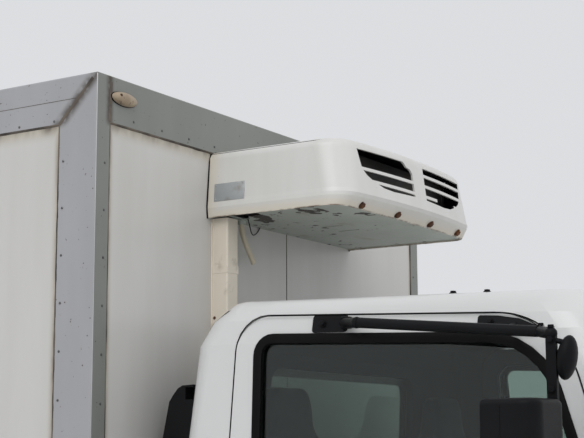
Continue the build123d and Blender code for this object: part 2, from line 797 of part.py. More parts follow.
with BuildPart() as seat_frames:
    for middle in seat_middles:
        add(slab(cab_x + 430, cab_x + 860, middle - 200, middle + 200, seat_base_z,
                 seat_top_z - 150.3))
        add(slab(cab_x + 330, cab_x + 431, middle - 200, middle + 200, seat_base_z,
                 seat_top_z - 160))
save(seat_frames.part, "seat_frames")

# Dashboard with the steering column
wheel_centre = (cab_x + 1230, 570, 1450)
column_tilt = 32
column_way = Vector(sin(radians(column_tilt)), 0, -cos(radians(column_tilt)))
column_r = 28
shaft_r = 10
wheel_ring_r = 210
wheel_tube_r = 14


def on_column(distance):
    """A point down the steering column, away from the wheel's middle."""
    spot = Vector(*wheel_centre) + column_way * distance
    return (spot.X, spot.Y, spot.Z)


with BuildPart() as dashboard:
    with BuildSketch(Plane.XZ.offset(-880)):
        with BuildLine():
            Polyline((cab_x + 1440, 1080), (cab_x + 1400, 1250), (cab_x + 1440, 1400),
                     (cab_x + 1560, 1435), (cab_x + 1900, 1415), (cab_x + 1900, 1080), close=True)
        make_face()
    extrude(amount=1760)
    add(cab_inner, mode=Mode.INTERSECT)
    add(rod(on_column(45), on_column(330), column_r))
    add(rod(on_column(-12), on_column(60), shaft_r))
save(dashboard.part, "dashboard")

with BuildPart() as steering_wheel:
    wheel_plane = Plane(origin=wheel_centre, z_dir=column_way)
    across = Vector(0, 1, 0)
    with BuildSketch(Plane(origin=wheel_centre, x_dir=across, z_dir=across.cross(column_way))):
        with Locations((wheel_ring_r, 0)):
            RegularPolygon(wheel_tube_r, 8)
    revolve(axis=Axis(wheel_centre, column_way))
    add(rod(on_column(-20), on_column(38), 38))
    for angle in (30, 150, 270):
        tip = wheel_plane * Pos(wheel_ring_r * cos(radians(angle)), wheel_ring_r * sin(radians(angle)), 0)
        root = wheel_plane * Pos(24 * cos(radians(angle)), 24 * sin(radians(angle)), 0)
        add(rod(tuple(root.position), tuple(tip.position), 10))
    add(rod(on_column(-14), on_column(40), shaft_r + running_gap), mode=Mode.SUBTRACT)
save(steering_wheel.part, "steering_wheel")

# Ladder frame: two channels, cross tubes, tilt brackets, rear cab rest and towing eyes
cross_tube_r = 35
cross_tube_x = (frame_rear_x + 60, -2050, -640, 420, frame_front_x - 70)
tow_eye_r = 16
tow_eye_outer = 32
tow_plate = 20
# Middle of each eye's hole, middle of its root at a cross tube, height
tow_eyes = ((frame_front_x + 95, frame_front_x - 70, 505), (box_rear_x - 40, frame_rear_x + 60, 600))
bumper_stand = 70
bumper_wall = 50
bumper_row = cab_levels[0]
bumper_inner_half = bumper_row[3] + bumper_stand - bumper_wall
bumper_bracket_x = (cab_x + cab_gap + bumper_row[2] + bumper_stand - bumper_wall
                    + bumper_row[6] * (1 - (frame_half_width / bumper_inner_half) ** 2) - 0.5)
with BuildPart() as frame:
    for side_name, side in sides:
        outer = sorted((side * frame_half_width, side * (frame_half_width - frame_flange)))
        add(slab(frame_rear_x, frame_front_x, outer[0], outer[1], frame_low_z, frame_high_z))
        inner = sorted((side * (frame_half_width - frame_web), side * (frame_half_width - frame_flange - 1)))
        add(slab(frame_rear_x - 1, frame_front_x + 1, inner[0], inner[1], frame_low_z + frame_web,
                 frame_high_z - frame_web), mode=Mode.SUBTRACT)
    for tube_x in cross_tube_x:
        reach = frame_half_width - frame_web
        height = (frame_low_z + frame_high_z) / 2
        add(rod((tube_x, -reach, height), (tube_x, reach, height), cross_tube_r))
    for side_name, side in sides:
        # Tilt bracket and pin
        plate_y = sorted((side * frame_half_width, side * (frame_half_width + 20)))
        add(slab(frame_front_x - 85, tilt_pivot_x, plate_y[0], plate_y[1], frame_high_z - 80,
                 frame_high_z))
        add(rod((tilt_pivot_x, plate_y[0], tilt_z), (tilt_pivot_x, plate_y[1], tilt_z), 28))
        add(rod((tilt_pivot_x, side * (frame_half_width + 1), tilt_z),
                (tilt_pivot_x, side * (frame_half_width + 58), tilt_z), tilt_pin_r))
        # Rest under the cab's rear edge
        post_y = sorted((side * (frame_half_width - frame_flange), side * frame_half_width))
        add(slab(cab_x + 260, cab_x + 310, post_y[0], post_y[1], frame_high_z, cab_floor_z - 6))
        # Bumper bracket
        beam_y = sorted((side * (frame_half_width - frame_flange), side * frame_half_width))
        add(slab(frame_front_x - 60, bumper_bracket_x, beam_y[0], beam_y[1], 575, 625))
    # Towing eyes: a level plate from the last cross tube at each end, with an upright hole for the pin
    for eye_x, root_x, eye_z in tow_eyes:
        low = min(eye_x, root_x - 20)
        high = max(eye_x, root_x + 20)
        plate_low = eye_z - tow_plate / 2
        plate_high = eye_z + tow_plate / 2
        add(slab(low, high, -tow_eye_outer, tow_eye_outer, plate_low, plate_high))
        add(rod((eye_x, 0, plate_low), (eye_x, 0, plate_high), tow_eye_outer))
        add(slab(root_x - 20, root_x + 20, -tow_eye_outer, tow_eye_outer, eye_z,
                 (frame_low_z + frame_high_z) / 2))
        add(rod((eye_x, 0, plate_low - 1), (eye_x, 0, plate_high + 1), tow_eye_r), mode=Mode.SUBTRACT)
save(frame.part, "frame")

# Subframe between the ladder frame and the box's floor
bearer_x = (-2700, -2150, -700, -150, 400, 950)
with BuildPart() as subframe:
    for side_name, side in sides:
        rail_y = sorted((side * (frame_half_width - 60), side * frame_half_width))
        add(slab(box_body_x, box_front_x - 20, rail_y[0], rail_y[1], frame_high_z, box_floor_z - 40))
    for middle in bearer_x:
        add(slab(middle - 25, middle + 25, -inner_half_width, inner_half_width, box_floor_z - 40,
                 box_floor_z))
save(subframe.part, "subframe")

# Front bumper: the cab's lowest outline grown outwards, as a wall with a step at each end
bumper_low_z = 400
bumper_high_z = 640
bumper_back_x = cab_x + 1300
step_from_x = bumper_back_x + 70
step_to_x = bumper_back_x + 300
step_z = bumper_low_z + 60
step_height = 120
step_depth = 110
step_plate = 14
with BuildPart() as front_bumper:
    with BuildSketch(Plane.XY.offset(bumper_low_z)):
        add(cab_outline(cab_levels[0], -bumper_stand))
        add(cab_outline(cab_levels[0], bumper_wall - bumper_stand), mode=Mode.SUBTRACT)
        with Locations((bumper_back_x - 1000, 0)):
            Rectangle(2000, 3000, mode=Mode.SUBTRACT)
    extrude(amount=bumper_high_z - bumper_low_z)
    for side_name, side in sides:
        # An entry step in each end: an opening in the wall and the tread behind it
        step_y = sorted((side * (bumper_inner_half - step_depth), side * (bumper_inner_half + 5)))
        add(slab(step_from_x, step_to_x, side * bumper_inner_half - 100, side * bumper_inner_half + 100,
                 step_z, step_z + step_height), mode=Mode.SUBTRACT)
        add(slab(step_from_x - 20, step_to_x + 20, step_y[0], step_y[1], step_z - step_plate, step_z))
save(front_bumper.part, "front_bumper")

# Leaf springs: distance from the axle, and each spring's two leaves as arcs
spring_rows = (
    (front_axle_x, 560, 425, 500, 0.55),
    (rear_axle_x, 620, 462, 545, 0.6),
)
leaf_thickness = 16
with BuildPart() as leaf_springs:
    for middle_x, half_length, low_z, end_z, short_share in spring_rows:
        for side_name, side in sides:
            with BuildSketch(Plane.XZ.offset(-side * spring_y - spring_width / 2)):
                for half, drop in ((half_length, 0), (half_length * short_share, leaf_thickness)):
                    lift = (end_z - low_z) * (half / half_length) ** 2
                    base = low_z + leaf_thickness - drop
                    with BuildLine():
                        ThreePointArc((middle_x - half, base + lift), (middle_x, base),
                                      (middle_x + half, base + lift))
                        Line((middle_x + half, base + lift),
                             (middle_x + half, base + lift + leaf_thickness + 2))
                        ThreePointArc((middle_x + half, base + lift + leaf_thickness + 2),
                                      (middle_x, base + leaf_thickness + 2),
                                      (middle_x - half, base + lift + leaf_thickness + 2))
                        Line((middle_x - half, base + lift + leaf_thickness + 2),
                             (middle_x - half, base + lift))
                    make_face()
            extrude(amount=spring_width)
            # Hangers from the spring's ends up to the frame
            for end in (-1, 1):
                hanger_x = middle_x + end * (half_length - 15)
                hanger_y = sorted((side * frame_half_width, side * (spring_y + spring_width / 2)))
                add(slab(hanger_x - 20, hanger_x + 20, hanger_y[0], hanger_y[1],
                         end_z + leaf_thickness, frame_low_z + 60))
save(leaf_springs.part, "leaf_springs")

# Front axle beam with a boss for each kingpin
boss_r = 32
boss_half = 45
beam_half = 35
with BuildPart() as front_axle:
    with BuildSketch(Plane(origin=(front_axle_x - beam_half, 0, 0), x_dir=(0, 1, 0), z_dir=(1, 0, 0))):
        with BuildLine():
            Polyline((-kingpin_y, axle_z - 30), (-560, axle_z - 40), (-480, axle_z - 70),
                     (480, axle_z - 70), (560, axle_z - 40), (kingpin_y, axle_z - 30),
                     (kingpin_y, axle_z + 30), (540, axle_z + 25), (460, axle_z),
                     (-460, axle_z), (-540, axle_z + 25), (-kingpin_y, axle_z + 30), close=True)
        make_face()
    extrude(amount=2 * beam_half)
    for side_name, side in sides:
        # A boss for the kingpin and a spring seat
        add(rod((front_axle_x, side * kingpin_y, axle_z - boss_half),
                (front_axle_x, side * kingpin_y, axle_z + boss_half), boss_r))
        add(rod((front_axle_x, side * kingpin_y, axle_z - boss_half - 1),
                (front_axle_x, side * kingpin_y, axle_z + boss_half + 1), kingpin_r + running_gap),
            mode=Mode.SUBTRACT)
        seat_y = sorted((side * (spring_y - spring_width / 2), side * (spring_y + spring_width / 2)))
        add(slab(front_axle_x - 50, front_axle_x + 50, seat_y[0], seat_y[1], axle_z - 20, 425))
save(front_axle.part, "front_axle")

# Steering knuckles: a yoke round the boss, the kingpin, the spindle and the arm for the tie rod
yoke_gap = 6
yoke_plate = 32
arm_length = 150
arm_plate = 20
stud_r = 8
yoke_low = axle_z - boss_half - yoke_gap - yoke_plate
yoke_high = axle_z + boss_half + yoke_gap + yoke_plate
arm_z = yoke_low
with BuildPart() as right_knuckle:
    web_y = -kingpin_y - boss_r - yoke_gap
    for low in (yoke_low, yoke_high - yoke_plate):
        add(slab(front_axle_x - boss_r, front_axle_x + boss_r, web_y - 22, -kingpin_y, low,
                 low + yoke_plate))
        add(rod((front_axle_x, -kingpin_y, low), (front_axle_x, -kingpin_y, low + yoke_plate), boss_r))
    add(slab(front_axle_x - boss_r, front_axle_x + boss_r, web_y - 22, web_y, yoke_low, yoke_high))
    add(rod((front_axle_x, -kingpin_y, yoke_low), (front_axle_x, -kingpin_y, yoke_high), kingpin_r))
    add(rod((front_axle_x, web_y, axle_z), (front_axle_x, -front_track / 2 - 50, axle_z), spindle_r))
    add(slab(front_axle_x - arm_length, front_axle_x, -kingpin_y - 15, -kingpin_y + 15, arm_z,
             arm_z + arm_plate))
    add(rod((front_axle_x - arm_length, -kingpin_y, arm_z),
            (front_axle_x - arm_length, -kingpin_y, arm_z + arm_plate), 18))
    add(rod((front_axle_x - arm_length, -kingpin_y, arm_z - 36),
            (front_axle_x - arm_length, -kingpin_y, arm_z + 1), stud_r))
save(right_knuckle.part, "knuckle_right")
save(left_of(right_knuckle.part), "knuckle_left")

tie_eye_r = 15
with BuildPart() as tie_rod:
    tie_x = front_axle_x - arm_length
    tie_z = arm_z - 18
    add(rod((tie_x, -kingpin_y + 10, tie_z), (tie_x, kingpin_y - 10, tie_z), 11))
    for side_name, side in sides:
        add(rod((tie_x, side * kingpin_y, tie_z - 14), (tie_x, side * kingpin_y, tie_z + 14), tie_eye_r))
        add(rod((tie_x, side * kingpin_y, tie_z - 20), (tie_x, side * kingpin_y, tie_z + 20),
                stud_r + running_gap), mode=Mode.SUBTRACT)
save(tie_rod.part, "tie_rod")

# Rear axle: housing, differential, spindles and the propeller shaft
axle_tube_r = 45
diff_r = 140
gearbox_rear_x = cab_x - 350
shaft_front_z = 600
with BuildPart() as rear_axle:
    add(rod((rear_axle_x, -dual_track / 2 + 60, axle_z), (rear_axle_x, dual_track / 2 - 60, axle_z),
            axle_tube_r))
    with BuildSketch(Plane(origin=(rear_axle_x - 60, 0, axle_z), z_dir=(1, 0, 0))):
        Circle(diff_r)
    extrude(amount=140, taper=14)
    add(rod((rear_axle_x, -dual_track / 2 - 170, axle_z), (rear_axle_x, dual_track / 2 + 170, axle_z),
            hub_bore_r))
    add(rod((rear_axle_x + 60, 0, axle_z), (gearbox_rear_x - 12, 0, shaft_front_z), 36))
    add(rod((gearbox_rear_x - 16, 0, shaft_front_z), (gearbox_rear_x, 0, shaft_front_z), 52))
    for side_name, side in sides:
        seat_y = sorted((side * (spring_y - spring_width / 2), side * (spring_y + spring_width / 2)))
        add(slab(rear_axle_x - 55, rear_axle_x + 55, seat_y[0], seat_y[1], axle_z, 462))
save(rear_axle.part, "rear_axle")

# Engine and gearbox as plain blocks on brackets
engine_x0 = cab_x + 340
engine_x1 = cab_x + 1190
engine_half = 260
with BuildPart() as engine:
    add(slab(engine_x0, engine_x1, -engine_half, engine_half, 450, 1080))
    add(slab(gearbox_rear_x, engine_x0, -150, 150, 470, 705))
    for mount_x in (cab_x + 700, cab_x + 200):
        reach = frame_half_width - frame_web
        add(slab(mount_x - 40, mount_x + 40, -reach, reach, 590, 640))
save(engine.part, "engine")

# Fuel tank on the left, battery box and silencer on the right
with BuildPart() as fuel_tank:
    add(slab(-350, 620, 400, 850, 440, 780))
    fillet(fuel_tank.edges().filter_by(Axis.X), 60)
    for strap_x in (-180, 450):
        add(slab(strap_x - 30, strap_x + 30, frame_half_width, 420, 570, 700))
    add(rod((400, 790, 700), (400, 850, 790), 32))
save(fuel_tank.part, "fuel_tank")

with BuildPart() as battery_box:
    add(slab(270, 820, -840, -450, 470, 730))
    fillet(battery_box.edges().filter_by(Axis.X), 15)
    for strap_x in (360, 720):
        add(slab(strap_x - 25, strap_x + 25, -451, -frame_half_width, 580, 700))
save(battery_box.part, "battery_box")

exhaust_r = 25
exhaust_points = ((60, -560, 590), (200, -400, 500), (1250, -385, 500), (1440, -215, 500),
                  (engine_x0, -215, 500))
with BuildPart() as silencer:
    add(rod((-600, -560, 590), (60, -560, 590), 120))
    add(rod((-780, -560, 560), (-600, -560, 590), 30))
    for start, end in zip(exhaust_points, exhaust_points[1:]):
        add(rod(start, end, exhaust_r))
    for corner in exhaust_points[1:-1]:
        add(Pos(*corner) * Sphere(exhaust_r, mode=Mode.PRIVATE))
    for strap_x in (-480, -60):
        add(slab(strap_x - 20, strap_x + 20, -470, -frame_half_width, 590, 680))
save(silencer.part, "silencer")

# Mudguards over the twin wheels, on stays from the frame
guard_r = 446
guard_sheet = 6
guard_end_rise = 120
flap_low_z = 200
guard_from_y = dual_track / 2 - 225
guard_to_y = dual_track / 2 + 235
with BuildPart() as mudguards:
    for side_name, side in sides:
        with BuildSketch(Plane.XZ.offset(-side * (guard_from_y + guard_to_y) / 2)):
            with Locations((rear_axle_x, axle_z)):
                Circle(guard_r + guard_sheet)
                Circle(guard_r, mode=Mode.SUBTRACT)
            with Locations((rear_axle_x, axle_z + guard_end_rise - 300)):
                Rectangle(1200, 600, mode=Mode.SUBTRACT)
        extrude(amount=(guard_to_y - guard_from_y) / 2, both=True)
        # A flap behind each pair of wheels
        flap_x = rear_axle_x - (guard_r ** 2 - guard_end_rise ** 2) ** 0.5
        flap_y = sorted((side * guard_from_y, side * guard_to_y))
        add(slab(flap_x - guard_sheet, flap_x, flap_y[0], flap_y[1], flap_low_z,
                 axle_z + guard_end_rise + 12))
        for end in (-1, 1):
            stay_x = rear_axle_x + end * 405
            stay_y = sorted((side * frame_half_width, side * (guard_from_y + 20)))
            add(slab(stay_x - 15, stay_x + 15, stay_y[0], stay_y[1], 590, 620))
save(mudguards.part, "mudguards")

# Side guards: two rails on three posts each side
guard_y = 1010
with BuildPart() as side_guards:
    for side_name, side in sides:
        rail_y = sorted((side * guard_y, side * (guard_y + 25)))
        for low in (450, 700):
            add(slab(-780, 1230, rail_y[0], rail_y[1], low, low + 90))
        for post_x in (-700, 900, 1190):
            post_y = sorted((side * (guard_y - 40), side * guard_y))
            add(slab(post_x - 20, post_x + 20, post_y[0], post_y[1], 450, 790))
            arm_y_pair = sorted((side * frame_half_width, side * (guard_y - 40)))
            add(slab(post_x - 20, post_x + 20, arm_y_pair[0], arm_y_pair[1], 610, 650))
save(side_guards.part, "side_guards")

# Rear underrun bar, its brackets, the lamp board and the dock buffers
bar_x0 = box_rear_x - 10
buffer_x = box_rear_x - 80
with BuildPart() as rear_underrun:
    add(slab(bar_x0, bar_x0 + 100, -1000, 1000, 420, 520))
    fillet(rear_underrun.edges().filter_by(Axis.Y), 12)
    for side_name, side in sides:
        bracket_y = sorted((side * frame_half_width, side * (frame_half_width + 12)))
        add(slab(bar_x0 + 60, frame_rear_x + 60, bracket_y[0], bracket_y[1], 430, 730))
        buffer_y = sorted((side * 880, side * 980))
        add(slab(buffer_x, frame_face_x, buffer_y[0], buffer_y[1], sill_z - 100, sill_z - 6))
    add(slab(frame_face_x, frame_face_x + 8, -1000, 1000, sill_z - 110, sill_z))
save(rear_underrun.part, "rear_underrun")

with BuildPart() as tail_lamps:
    for side_name, side in sides:
        lamp_pair = sorted((side * 600, side * 870))
        add(slab(frame_face_x - 40, frame_face_x, lamp_pair[0], lamp_pair[1], sill_z - 100, sill_z - 10))
save(tail_lamps.part, "tail_lamps")

# Air intake behind the cab: hooked head with its inlet, trunk, stem and its arm from the frame
snorkel_y = -750
snorkel_half = 50
snorkel_profile = ((30, 1150), (45, 1797), (63, 1880), (70, 1912), (86, 1934), (104, 1954), (122, 1963), (165, 1965),
                   (165, 1250), (120, 1150))
with BuildPart() as intake_snorkel:
    with BuildSketch(Plane.XZ.offset(-snorkel_y + snorkel_half)):
        with BuildLine():
            Polyline([(cab_x + ahead, height) for ahead, height in snorkel_profile], close=True)
        make_face()
    extrude(amount=-2 * snorkel_half)
    add(slab(cab_x + 134, cab_x + 170, snorkel_y - snorkel_half - 1, snorkel_y - snorkel_half + 40, 1918,
             1957), mode=Mode.SUBTRACT)
    add(rod((cab_x + 80, snorkel_y, 620), (cab_x + 80, snorkel_y, 1160), 42))
    add(slab(cab_x + 55, cab_x + 105, snorkel_y, -frame_half_width, 600, 650))
save(intake_snorkel.part, "intake_snorkel")


# Wheels. Sketch planes hold (distance from the axle, distance out from the truck's middle)
def lateral_plane(axle_x):
    return Plane(origin=(axle_x, 0, axle_z), x_dir=(1, 0, 0), z_dir=(0, 0, 1))


def tyre_ring(middle_y):
    """One tyre's section: bead on the rim, bulging side walls, rounded shoulders and flat tread."""
    half = tyre_width / 2
    bead = rim_half_width - 10
    upper = [(radius, middle_y + half - inwards) for radius, inwards in tyre_rows]
    lower = [(radius, middle_y - half + inwards) for radius, inwards in reversed(tyre_rows)]
    seat_r = tyre_rows[0][0]
    with BuildSketch(mode=Mode.PRIVATE) as section:
        with BuildLine():
            Polyline([(seat_r, middle_y - bead), (rim_radius + bead_gap, middle_y - bead),
                      (rim_radius + bead_gap, middle_y + bead), (seat_r, middle_y + bead)]
                     + upper + lower, close=True)
        make_face()
    return section.sketch


def rim_barrel(middle_y):
    """One rim's barrel and its two flanges, in section."""
    with BuildSketch(mode=Mode.PRIVATE) as section:
        with Locations((rim_radius - rim_thickness / 2, middle_y)):
            Rectangle(rim_thickness, 2 * rim_half_width)
        for end in (-1, 1):
            with Locations(((rim_radius - rim_thickness + flange_radius) / 2,
                            middle_y + end * (rim_half_width - 4))):
                Rectangle(flange_radius - rim_radius + rim_thickness, 8)
    return section.sketch


front_mid = front_track / 2
dual_mid = dual_track / 2
wheel_rows = (
    ("front", front_axle_x, (front_mid,)),
    ("rear", rear_axle_x, (dual_mid - dual_spacing / 2, dual_mid + dual_spacing / 2)),
)
disc_thickness = 10
inner_r = rim_radius - rim_thickness
for wheel_name, axle_x, middles in wheel_rows:
    spin_axis = Axis((axle_x, 0, axle_z), (0, 1, 0))
    with BuildPart() as left_tyre:
        with BuildSketch(lateral_plane(axle_x)):
            for middle in middles:
                add(tyre_ring(middle))
        revolve(axis=spin_axis)
    with BuildPart() as left_rim:
        with BuildSketch(lateral_plane(axle_x)):
            for middle in middles:
                add(rim_barrel(middle))
            if wheel_name == "front":
                # Disc near the outer side, with a hub on the spindle
                disc_y = front_mid + 40
                bore = spindle_r + running_gap
                with BuildLine():
                    Polyline((60, disc_y), (150, disc_y), (inner_r + 1, disc_y - 25),
                             (inner_r + 1, disc_y - 25 + disc_thickness),
                             (150, disc_y + disc_thickness), (60, disc_y + disc_thickness), close=True)
                make_face()
                with Locations(((bore + 62) / 2, front_mid + 5)):
                    Rectangle(62 - bore, 100)
                with Locations((22, front_mid + 65)):
                    Rectangle(44, 20)
                hole_y = disc_y - 30
            else:
                # Two dished discs back to back, with the hub through them
                disc_y = dual_mid
                bore = hub_bore_r + running_gap
                for end in (-1, 1):
                    with BuildLine():
                        Polyline((70, disc_y), (150, disc_y), (inner_r + 1, disc_y + end * 42),
                                 (inner_r + 1, disc_y + end * (42 + disc_thickness)),
                                 (145, disc_y + end * disc_thickness), (70, disc_y + end * disc_thickness),
                                 close=True)
                    make_face()
                with Locations(((bore + 78) / 2, dual_mid + 65)):
                    Rectangle(78 - bore, 230)
                with Locations((24, dual_mid + 187)):
                    Rectangle(48, 14)
                hole_y = disc_y - 60
        revolve(axis=spin_axis)
        with BuildSketch(Plane(origin=(axle_x, hole_y, axle_z), x_dir=(1, 0, 0), z_dir=(0, 1, 0))):
            with PolarLocations(162, 8):
                Circle(17)
        extrude(amount=150, mode=Mode.SUBTRACT)
    for side_name, side in sides:
        tyre = left_tyre.part if side > 0 else left_of(left_tyre.part)
        rim = left_rim.part if side > 0 else left_of(left_rim.part)
        save(tyre, f"tyre_{wheel_name}_{side_name}")
        save(rim, f"rim_{wheel_name}_{side_name}")

# Rear doors, with their straps and lock rods
strap_reach = 170
rod_x = box_rear_x - lock_rod_stand
with BuildPart() as right_leaf:
    add(slab(box_rear_x, box_rear_x + door_leaf, -hinge_y + hinge_edge, -leaf_half_slit,
             leaf_bottom_z, leaf_top_z))

with BuildPart() as right_gear:
    for height in hinge_heights:
        low = height + 2
        add(slab(hinge_x + 2, box_rear_x, -hinge_y, -hinge_y + strap_reach, low, low + lug_height))
        add(rod((hinge_x, -hinge_y, low), (hinge_x, -hinge_y, low + lug_height), hinge_eye_r))
        add(rod((hinge_x, -hinge_y, low - 1), (hinge_x, -hinge_y, low + lug_height + 1),
                hinge_pin_r + running_gap), mode=Mode.SUBTRACT)
    add(rod((rod_x, -lock_rod_from_centre, leaf_bottom_z - 8),
            (rod_x, -lock_rod_from_centre, leaf_top_z + 8), lock_rod_r))
    for height in (leaf_bottom_z + 60, leaf_bottom_z + 538, leaf_top_z - 741, leaf_top_z - 90):
        add(slab(rod_x, box_rear_x, -lock_rod_from_centre - 30, -lock_rod_from_centre + 30, height,
                 height + 40))
    handle_z = leaf_bottom_z + lock_handle_rise
    add(slab(rod_x - 10, rod_x + 8, -lock_rod_from_centre - 300, -lock_rod_from_centre, handle_z,
             handle_z + 25))

for side_name, side in sides:
    save(right_leaf.part if side < 0 else left_of(right_leaf.part), f"rear_door_{side_name}")
    save(right_gear.part if side < 0 else left_of(right_gear.part), f"door_gear_{side_name}")
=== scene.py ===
# %% [markdown]
# A light refrigerated truck, dressed for a close look.
# The solid model gives every size, place and joint. This script adds what a solid model
# can't hold: worn finishes, rubber seals, screws, tread and the small parts of the cab.
# First the imported model is loaded.

# %% Load the truck
import bpy
import bmesh
import json
from bmesh import ops, types
from math import cos, pi, radians, sin, tan
from mathutils import Matrix, Vector, noise


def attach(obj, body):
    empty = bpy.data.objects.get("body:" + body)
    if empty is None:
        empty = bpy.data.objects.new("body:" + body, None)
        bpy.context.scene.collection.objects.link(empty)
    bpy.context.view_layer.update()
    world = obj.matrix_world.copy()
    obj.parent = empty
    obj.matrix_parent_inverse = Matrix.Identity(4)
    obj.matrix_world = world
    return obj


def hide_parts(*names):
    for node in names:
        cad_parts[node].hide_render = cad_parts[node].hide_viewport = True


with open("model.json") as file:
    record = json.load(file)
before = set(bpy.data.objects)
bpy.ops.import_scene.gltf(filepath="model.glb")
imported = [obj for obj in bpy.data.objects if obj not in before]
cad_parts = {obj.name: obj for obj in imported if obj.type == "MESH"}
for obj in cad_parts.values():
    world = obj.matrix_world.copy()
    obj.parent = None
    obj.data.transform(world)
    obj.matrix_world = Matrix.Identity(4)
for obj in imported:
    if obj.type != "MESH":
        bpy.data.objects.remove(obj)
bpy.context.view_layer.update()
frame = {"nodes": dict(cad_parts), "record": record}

# %% [markdown]
# The camera stands at eye height ahead of the truck's right front corner and looks slightly
# up at the cooling unit. Its place and lens were solved from the box's straight edges.
# Blender's camera looks along its own -Z, so it is first raised by 90 degrees.

# %% Camera
scene = bpy.context.scene
shift = Matrix.Translation


def turned(degrees, axis):
    return Matrix.Rotation(radians(degrees), 4, axis)


def put(name, data):
    """An object for a mesh, curve, lamp or camera, linked to the scene."""
    made = bpy.data.objects.new(name, data)
    scene.collection.objects.link(made)
    return made


eye = Vector((4.039, -4.422, 1.76))
yaw, pitch, roll = 32.24, 9.35, -0.219
camera = put("camera", bpy.data.cameras.new("camera"))
camera.data.lens = 86.2
camera.data.sensor_width = 36
camera.data.clip_end = 200
camera.matrix_world = shift(eye) @ turned(yaw, "Z") @ turned(90 + pitch, "X") @ turned(roll, "Z")
scene.camera = camera
print("camera at", [round(v, 2) for v in eye])

# %% [markdown]
# Every finish here is painted, moulded or cast stuff that has been outdoors for years.
# One helper adds a node and sets its sockets, so that each material below reads as a list
# of steps: a base colour, a second tone in soft clouds, dirt where it gathers, then gloss
# and grain. All patterns read Object coordinates, so they stay put when a part moves.

# %% Node helpers
finishes = {}
tree = shader = None


def feed(made, **sockets):
    """Links a node's socket where it is given another socket, or else sets it."""
    for name, value in sockets.items():
        key = int(name[1:]) if name[1:].isdigit() else name.replace("_", " ")
        if isinstance(value, bpy.types.NodeSocket):
            tree.links.new(value, made.inputs[key])
        else:
            made.inputs[key].default_value = value
    return made


def node(kind, settings=None, **sockets):
    """Adds a shader node with its settings and sockets; i0 is its first socket."""
    made = tree.nodes.new("ShaderNode" + kind)
    for name, value in (settings or {}).items():
        setattr(made, name, value)
    return feed(made, **sockets)


def here(axis=None):
    """The Object coordinates, or one axis of them."""
    place = node("TexCoord").outputs["Object"]
    return node("SeparateXYZ", Vector=place).outputs[axis] if axis else place


def ramp(value, low, high, start=0.0, end=1.0):
    """Goes from start to end while value goes from low to high, and stays there outside."""
    return node("MapRange", {"clamp": True}, Value=value, From_Min=low, From_Max=high, To_Min=start,
                To_Max=end).outputs[0]


def clouds(scale, low, high, stretch=(1, 1, 1), detail=4.0):
    """A soft mask from 0 to 1: noise between two levels, drawn out along an axis by stretch."""
    drawn = node("Mapping", Vector=here(), Scale=stretch).outputs[0]
    puffs = node("TexNoise", Vector=drawn, Scale=scale, Detail=detail, Roughness=0.55)
    return ramp(puffs.outputs["Fac"], low, high)


def combine(operation, first, second=0.0):
    return node("Math", {"operation": operation}, i0=first, i1=second).outputs[0]


def times(first, second):
    return combine("MULTIPLY", first, second)


def most(first, second):
    return combine("MAXIMUM", first, second)


def dot(first, second):
    return node("VectorMath", {"operation": "DOT_PRODUCT"}, i0=first, i1=second).outputs["Value"]


def beside(normal, offset, width):
    """1 on the plane where normal . place is offset, falling to 0 at width from it."""
    away = combine("SUBTRACT", dot(here(), Vector(normal).normalized()), offset)
    return node("MapRange", {"clamp": True, "interpolation_type": "SMOOTHSTEP"},
                Value=combine("ABSOLUTE", away), From_Min=width, From_Max=0.0).outputs[0]


def blend(share, below, above):
    """Colour below where share is 0, above where it is 1."""
    ends = [colour if isinstance(colour, bpy.types.NodeSocket) else (*colour, 1)
            for colour in (below, above)]
    return node("Mix", {"data_type": "RGBA"}, i0=share, i6=ends[0], i7=ends[1]).outputs[2]


def paint(share, below, above):
    feed(shader, Base_Color=blend(share, below, above))


def start_finish(name, roughness, metal=0.0, coat=0.0):
    """Adds a material to the finishes; the node helpers then work in its tree."""
    global tree, shader
    finishes[name] = bpy.data.materials.new(name)
    finishes[name].use_nodes = True
    tree = finishes[name].node_tree
    shader = tree.nodes["Principled BSDF"]
    feed(shader, Roughness=roughness, Metallic=metal, Coat_Weight=coat)


def grain(scale, strength, distance=0.001, stretch=(1, 1, 1), detail=3.0):
    """Fine relief on the shader's normal."""
    height = clouds(scale, 0.2, 0.8, stretch, detail)
    feed(shader, Normal=node("Bump", Height=height, Strength=strength,
                             Distance=distance).outputs[0])


# %% [markdown]
# Plain worn finishes differ only in numbers, so they come from one table. Each row gives
# the colour, a second tone, the dirt's colour and share, the gloss, and the grain's size
# and depth. A slot's name is the one that the solid model's record uses.

